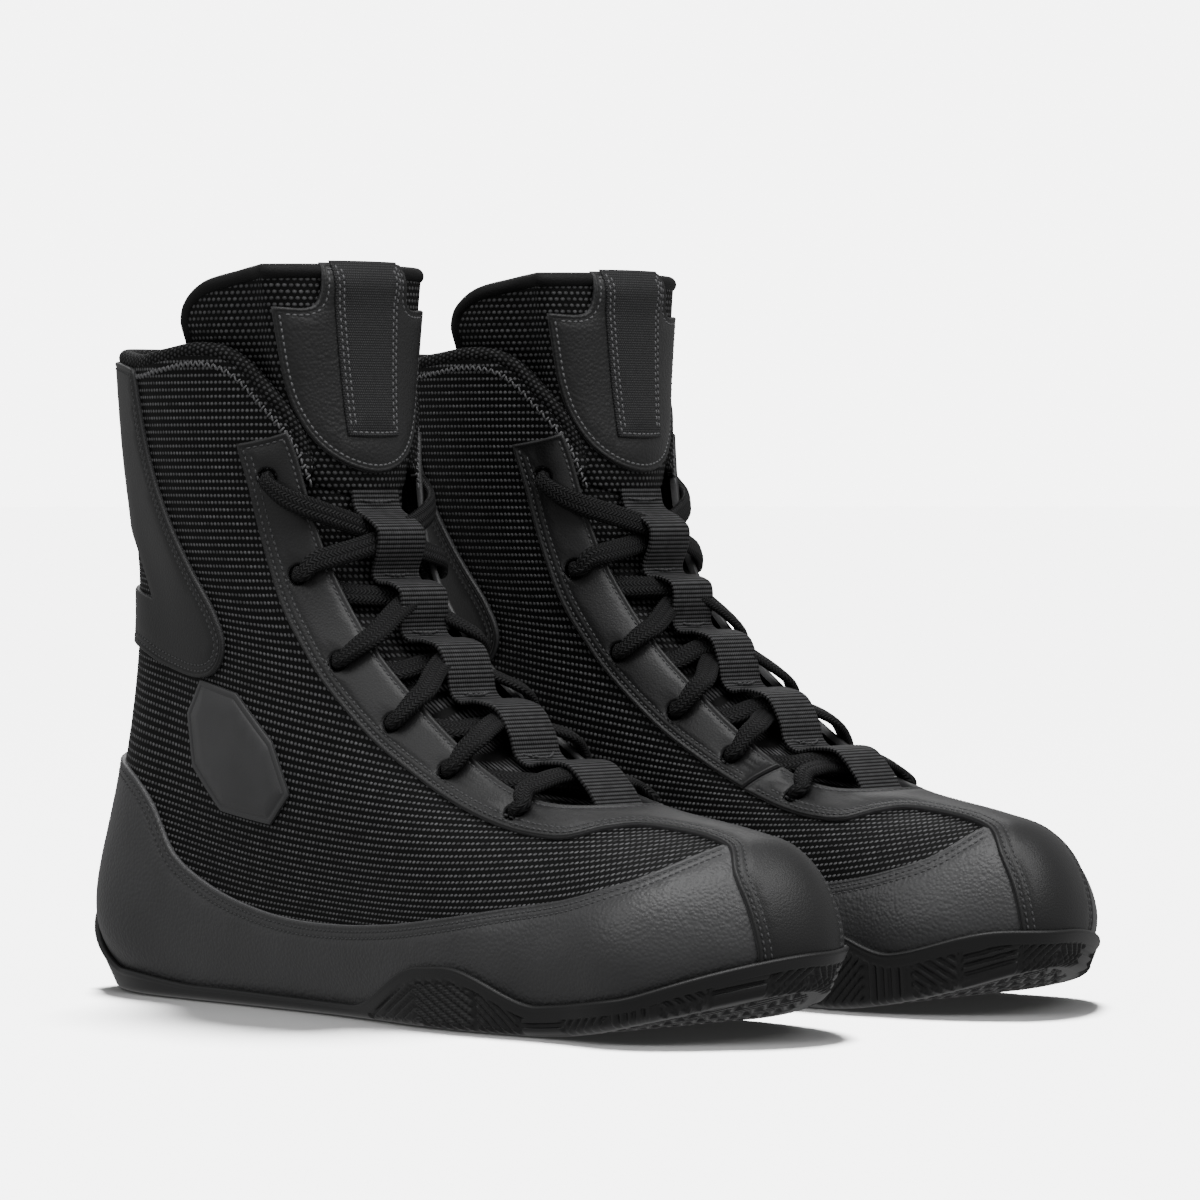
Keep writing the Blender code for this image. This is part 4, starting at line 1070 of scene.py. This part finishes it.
def tongue_trim(boot):
    """The leather shield with its stepped shoulders, and the plain strip that wraps over the top."""
    edge = [(.883, 1.162), (.885, 1.12), (.888, 1.075), (.900, 1.038), (.925, 1.006), (.958, .986),
            (1.0, .979)]
    outline = [*edge, *[(2 - u, v) for u, v in reversed(edge)][1:], (1.052, 1.166), (1.042, 1.214),
               (.958, 1.214), (.948, 1.166)]
    count = len(outline)
    panel = Panel(FRONT, outline, (0, 12, 14, 15), spacing=2.0, cell=3.2)
    for span in ((0, 12), (12, count - .02)):
        panel.stitched(boot, 2.2, 0, SHIELD_LEATHER, span, boot.tongue, shield_depth, "thread")
    panel.build(boot, "tongue_shield_leather", "shield", "grained_leather", 0, SHIELD_LEATHER,
                depth=shield_depth, body=boot.tongue, stands_for=("tongue_shield",))
    label = [(.966, 1.018), (1.034, 1.018), (1.034, 1.216), (.966, 1.216)]

    def strip_depth(u, v):
        return shield_depth(u, v) + SHIELD_LEATHER

    panel = Panel(FRONT, label, (0, 1, 2, 3), spacing=2.0, cell=3.0, rim=PLAIN_RIM)
    for distance, span in ((1.3, (1, 2)), (1.3, (3, 3.98)), (2.9, (1, 2)), (2.9, (3, 3.98)), (1.3, (0, 1))):
        panel.stitched(boot, distance, 0, STRIP_CLOTH, span, boot.tongue, strip_depth, "thread")
    panel.build(boot, "pull_strip", "strip", "label_strip", 0, STRIP_CLOTH, depth=strip_depth,
                body=boot.tongue, stands_for=("pull_label",))


# ---------------------------------------------------------------- webbing and lace

KEEPER = ((.962, -3.6), (.940, -3.4), (.922, 1.6), (.905, 4.4), (.886, 2.2), (.868, -3.0), (.855, -3.0),
          (.843, 1.4), (.825, 4.3), (.806, 1.6), (.790, -3.2), (.775, -3.2), (.758, 1.2), (.735, 4.2),
          (.712, 1.2), (.695, -3.2), (.680, -3.2), (.665, 1.0), (.640, 4.2), (.615, 1.0), (.600, -3.2),
          (.583, -3.2), (.566, 1.0), (.540, 4.2), (.512, 1.0), (.492, -3.2), (.474, -3.8))


def lace_keeper(boot):
    """Webbing tacked to the tongue between the crossings, with a raised loop over each one."""
    knots = np.array([(*FRONT.flat((1.0, v))[0], depth) for v, depth in KEEPER])
    knots[:, 0] = 0
    path = smooth_path(knots, .35)
    flat, depth = path[:, :2], path[:, 2]
    u, v = FRONT.place(flat)
    points = lifted(u, v, depth)
    _, along, _, _ = FRONT.frame(flat)
    side = unit(along)
    up = unit(np.cross(side, tangents(points)))
    if (up * normals(u, v)).sum() < 0:
        up = -up
    profile = np.array([(-.5, -.35), (-.47, -.5), (-.25, -.5), (0, -.5), (.25, -.5), (.47, -.5), (.5, -.35),
                        (.5, .35), (.47, .5), (.25, .5), (0, .5), (-.25, .5), (-.47, .5), (-.5, .35)])
    profile = profile * (WEBBING_WIDTH, WEBBING_THICKNESS)
    mesh, faces, uv = sweep(points, side, up, profile)
    boot.add("lace_keeper_webbing", mesh, turned(faces), "webbing", "webbing", uv,
             stands_for=("lace_keeper",))
    for tack in KEEPER_TACKS:
        row_v = np.full(30, tack)
        row_x = np.linspace(-WEBBING_WIDTH / 2 + 1.2, WEBBING_WIDTH / 2 - 1.2, 30)
        row_u, _ = FRONT.place(np.stack([row_x, row_v * FLAT_HEIGHT], 1))
        row = lifted(row_u, row_v, -3.0 + WEBBING_THICKNESS / 2 + .05)
        sew(boot, row, normals(row_u, row_v), boot.body, "dark_thread")


def eyelet_turn(row, side):
    """The lace's half turn through one eyelet, from under to over, as flat points with a depth."""
    u, v = EYELETS[row]
    centre = FRONT.flat((1 - side * (1 - u), v))
    _, along, up, normal = FRONT.frame(centre)
    across = unit(along)
    rise = np.cross(across, normal)
    lean = .35 if row else -.45
    length = math.hypot(1, lean)
    turn = []
    for angle in (0, 60, 120, 180):
        swing = math.radians(angle)
        run = LACE_BEND * (1 - math.sin(swing))
        vector = across * (-math.copysign(run / length, centre[0, 0])) + rise * run * lean / length
        spot = FRONT.moved(centre, vector, along, up)[0]
        turn.append((*spot, .65 - (LACE_BEND - .15) * math.cos(swing), .70))
    return turn


def lace_place(u, v, depth, width=1.0):
    return (*FRONT.flat((u, v))[0], depth, width)


def lace_half(sign):
    route = []
    side = sign
    for row in range(len(EYELETS) - 1, 0, -1):
        route += eyelet_turn(row, side)
        crossing = CROSSINGS[row - 1]
        low_v, high_v = EYELETS[row][1], EYELETS[row - 1][1]
        over = side > 0
        near, far = 1 - side * (1 - THROAT), 1 + side * (1 - THROAT)
        route.append(lace_place(near, low_v + (crossing - low_v) * .45, 3.6))
        route.append(lace_place(1.0, crossing, 1.5 if over else -1.9))
        depth = -2.6 if row > 1 else 3.6
        route.append(lace_place(far, crossing + (high_v - crossing) * .5, depth))
        side = -side
    route += eyelet_turn(0, side)[::-1]
    for u, v in ((.80, .90), (.815, .85), (.82, .80)):
        route.append(lace_place(1 - side * (1 - u), v, -1.95, .8))
    return route


def lace(boot):
    outer, inner = lace_half(1), lace_half(-1)
    bar = [lace_place(u, .436, -2.9) for u in (.90, .95, 1.0, 1.05, 1.10)]
    route = np.array(outer[::-1] + bar + inner)
    path = smooth_path(route, .8)
    u, v = FRONT.place(path[:, :2])
    points = lifted(u, v, path[:, 2])
    normal = normals(u, v)
    along = tangents(points)
    wanted = np.cross(along, normal)
    strength = np.linalg.norm(wanted, axis=1)
    sides = np.zeros_like(points)
    last = unit(wanted[0])
    for k in range(len(points)):
        if strength[k] > .45:
            fresh = wanted[k] / strength[k]
            if fresh @ last < 0:
                fresh = -fresh
            last = last * .6 + fresh * .4
        last = last - along[k] * (last @ along[k])
        last = last / np.linalg.norm(last)
        sides[k] = last
    up = unit(np.cross(sides, along))
    width = path[:, 3]
    widths = np.stack([width, 1 + (1 - width) * .9], 1)
    mesh, faces, uv = sweep(points, sides, up, oval(LACE_WIDTH, LACE_THICKNESS, 16, .75), widths)
    made = boot.add("flat_lace", mesh, turned(faces), "lace", "braided_lace", uv,
                    stands_for=("lace",))


# ---------------------------------------------------------------- sole

def sole_height(s):
    rise = np.clip((np.asarray(s, float) - GROUND_END) / (TOE_END - GROUND_END), 0, None)
    return TOE_SPRING * rise ** 1.8


def lip_height(u):
    u = (np.asarray(u, float) + 1) % 2 - 1
    return np.where(u >= 0, blend(np.abs(u), OUTER_LIP), blend(np.abs(u), INNER_LIP))


def ridges(x, pitch, cut=.42):
    """1 on a ridge and 0 in a groove, for stripes of the given pitch."""
    phase = np.abs(np.mod(x / pitch, 1) - .5) * 2
    return np.clip((phase - cut) / .22, 0, 1)


PATCHES = ((0, "rise"), (15, "level"), (34, "fall"), (50, "upright"), (66, "rise"), (84, "level"),
           (101, "fall"), (118, "chevron"), (170, "none"))


def side_tread(along, height):
    """The sole wall's moulded ribs: patches of stripes in four directions, from the toe backward."""
    value = np.ones(along.shape)
    for (start, kind), (end, _) in zip(PATCHES, PATCHES[1:]):
        here = (along >= start) & (along < end)
        local, middle = along - start, (start + end) / 2
        stripes = {
            "rise": ridges(local + height * 1.1, RIB_PITCH * 1.3),
            "fall": ridges(local - height * 1.1, RIB_PITCH * 1.3),
            "level": ridges(height + .4, RIB_PITCH),
            "upright": ridges(local, RIB_PITCH),
            "chevron": ridges(np.abs(along - middle) * .55 + height, RIB_PITCH * 1.05),
        }[kind]
        divide = np.clip((np.minimum(local, end - along) - .5) / .5, 0, 1)
        value = np.where(here, np.minimum(stripes, divide), value)
    return value


def outsole(boot):
    """The cup sole: a patterned wall under a smooth wavy lip, and a herringbone underside."""
    fine = np.linspace(-1, 1, 2001)
    ring = lifted(fine, 0 * fine, 2.6)
    lengths = running_length(ring)
    count = WALL_COLUMNS
    u = np.interp(np.arange(count) * lengths[-1] / count, lengths, fine)
    around = np.minimum(np.arange(count), count - np.arange(count)) * lengths[-1] / count
    lip = lip_height(u)
    edge = lifted(u, 0 * u, FOOT_DEPTH)
    edge[:, 2] = sole_height(edge[:, 0])
    shoulder = lifted(u, 0 * u, SHOULDER)
    low = sole_height(shoulder[:, 0])
    shoulder[:, 2] = low + SHOULDER_RISE
    rim = lifted(u, lip - .010, RIM)
    outward = normals(u, 0 * u)
    outward[:, 2] = 0
    outward = unit(outward)
    levels = []
    for k in range(EDGE_ROWS):
        t = k / EDGE_ROWS
        point = edge + (shoulder - edge) * np.stack([[math.sin(t * math.pi / 2)] * count] * 2
                                                    + [[1 - math.cos(t * math.pi / 2)] * count], 1)
        levels.append(point)
    for k in range(WALL_ROWS + 1):
        levels.append(shoulder + (rim - shoulder) * (k / WALL_ROWS))
    rows = []
    tall = rim[:, 2] - low
    for k, point in enumerate(levels):
        height = point[:, 2] - low
        band = np.clip((tall - height - 2.6) / .6, 0, 1)
        pattern = side_tread(around, height)
        cut = (1 - pattern) * band * np.clip(k / 2, 0, 1)
        rows.append(point - outward * (cut * RIB_DEPTH)[:, None])
    for drop, depth in ((-.004, 3.75), (0.0, 3.5), (.0025, 2.9), (.002, 2.3), (-.003, 1.3), (-.03, .3)):
        rows.append(lifted(u, lip + drop, depth))
    points = np.vstack(rows)
    total = len(rows)
    faces = []
    for r in range(total - 1):
        for k in range(count):
            n = (k + 1) % count
            faces.append((r * count + k, r * count + n, (r + 1) * count + n, (r + 1) * count + k))
    boot.add("cup_sole_wall", points, faces, "rubber", "outsole_rubber", stands_for=("outsole",))
    underside(boot, fine)


def underside(boot, fine):
    """The herringbone under the forefoot and heel, with a plain waist and border."""
    rows, columns = 330, 90
    half = fine[fine >= 0]
    outer = lifted(half, 0 * half, -3.45)
    inner = lifted(-half, 0 * half, -3.45)
    s = np.linspace(max(outer[0, 0], inner[0, 0]) + .05, min(outer[-1, 0], inner[-1, 0]) - .05, rows)
    left = np.interp(s, outer[:, 0], outer[:, 1])
    right = np.interp(s, inner[:, 0], inner[:, 1])
    t = np.linspace(0, 1, columns)
    q = left[:, None] + (right - left)[:, None] * t[None, :]
    s = np.repeat(s[:, None], columns, 1)
    border = np.minimum(np.abs(q - left[:, None]), np.abs(q - right[:, None]))
    zigzag = np.abs(np.mod(q / 14, 1) - .5) * 14
    waist = blend(s, ((95, 1), (110, 0))) + blend(s, ((135, 0), (150, 1)))
    cut = (1 - ridges(s + zigzag, 5.2, .35)) * np.clip((border - 4) / .8, 0, 1) * np.clip(waist, 0, 1)
    z = sole_height(s) + .02 + cut * 1.3
    points = np.stack([s, q, z], axis=-1).reshape(-1, 3)
    faces = []
    for r in range(rows - 1):
        for k in range(columns - 1):
            a = r * columns + k
            faces.append((a, a + 1, a + columns + 1, a + columns))
    boot.add("sole_underside", points, faces, "rubber", "outsole_rubber")


def hidden_parts(boot):
    """The frame's own solids that stay, and take the finish of what they are."""
    for node, finish in (("insole", "insole"), ("midsole", "binding"), ("insole_board", "binding"),
                         ("heel_counter", "binding"), ("toe_puff", "binding"), ("collar_foam", "binding"),
                         ("first_aglet", "film"), ("second_aglet", "film")):
        solid = bpy.data.objects[f"{boot.name}_{node}"]
        for slot in solid.material_slots:
            slot.material = boot.finishes[finish]


def build_boot(name, side, finishes):
    boot = Boot(name, side, finishes)
    lace(boot)
    outsole(boot)
    quarters(boot)
    rands(boot)
    eyestays(boot)
    ankle_wrap(boot)
    badges(boot)
    collar_roll(boot)
    back_seam(boot)
    lining(boot)
    tongues(boot)
    tongue_trim(boot)
    lace_keeper(boot)
    make_threads(boot)
    hidden_parts(boot)


# ---------------------------------------------------------------- the stage

BACKDROP_GLOW, FLOOR_GLOW, FLOOR_GREY = 6.2, .02, .25
FLOOR_SIZE, DOME_RADIUS, AMBIENT = 60, 20, .40
FLOOR_SUN, FLOOR_SUN_ANGLE, FLOOR_SUN_TILT = 76.0, 14.0, 17
LAMPS = (("front", (.30, -1.45, 1.65), 1.2, 18), ("side", (-1.5, .5, 1.5), 1.0, 7.5),
         ("top", (-.35, -.35, 1.9), 1.1, 22), ("back", (.9, 1.1, 1.2), .9, 6))


def glowing(name, grey_level, strength):
    """A pale matt surface with light of its own, as a lit studio sweep has."""
    made, _, shader = new_material(name, (grey_level,) * 3, .9, .1)
    shader.inputs["Emission Color"].default_value = (1, 1, 1, 1)
    shader.inputs["Emission Strength"].default_value = strength
    return made


def stage_piece(made, name, finish):
    """A part of the studio that is seen but throws no light or shadow on the boots."""
    made.name = name
    made.data.materials.append(finish)
    made.visible_diffuse = False
    made.visible_glossy = False
    made.visible_shadow = False


def make_stage():
    bpy.ops.mesh.primitive_plane_add(size=FLOOR_SIZE)
    floor = bpy.context.object
    stage_piece(floor, "floor", glowing("floor_look", FLOOR_GREY, FLOOR_GLOW))
    sun = bpy.data.lights.new("floor_light", "SUN")
    sun.energy = FLOOR_SUN
    sun.angle = math.radians(FLOOR_SUN_ANGLE)
    made = bpy.data.objects.new("floor_light", sun)
    bpy.context.scene.collection.objects.link(made)
    made.rotation_euler = (math.radians(-FLOOR_SUN_TILT), math.radians(FLOOR_SUN_TILT), 0)
    lit = bpy.data.collections.new("lit_by_the_floor_light")
    lit.objects.link(floor)
    made.light_linking.receiver_collection = lit
    bpy.ops.mesh.primitive_uv_sphere_add(radius=DOME_RADIUS, segments=48, ring_count=24)
    stage_piece(bpy.context.object, "backdrop", glowing("backdrop_look", 0, BACKDROP_GLOW))
    world = bpy.data.worlds.new("studio")
    bpy.context.scene.world = world
    world.use_nodes = True
    sky = world.node_tree.nodes["Background"]
    sky.inputs["Color"].default_value = (1, 1, 1, 1)
    sky.inputs["Strength"].default_value = AMBIENT
    for name, place, size, power in LAMPS:
        lamp = bpy.data.lights.new(name, "AREA")
        lamp.energy = power
        lamp.size = size
        made = bpy.data.objects.new(name, lamp)
        bpy.context.scene.collection.objects.link(made)
        made.location = place
        made.visible_camera = False
        aim = np.array((0, 0, .1)) - np.array(place)
        made.rotation_euler = (math.atan2(math.hypot(aim[0], aim[1]), -aim[2]), 0,
                               math.atan2(aim[0], -aim[1]) + math.pi)
    camera = bpy.data.cameras.new("camera")
    camera.lens = 180
    camera.sensor_width = 36
    made = bpy.data.objects.new("camera", camera)
    bpy.context.scene.collection.objects.link(made)
    made.location = (-1.3845, -1.2906, .170)
    made.rotation_euler = (math.radians(90 - 1.337), 0, math.radians(-47.2))
    bpy.context.scene.camera = made


def main():
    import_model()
    make_stage()
    finishes = make_finishes()
    build_boot("right", -1, finishes)
    build_boot("left", 1, finishes)


main()
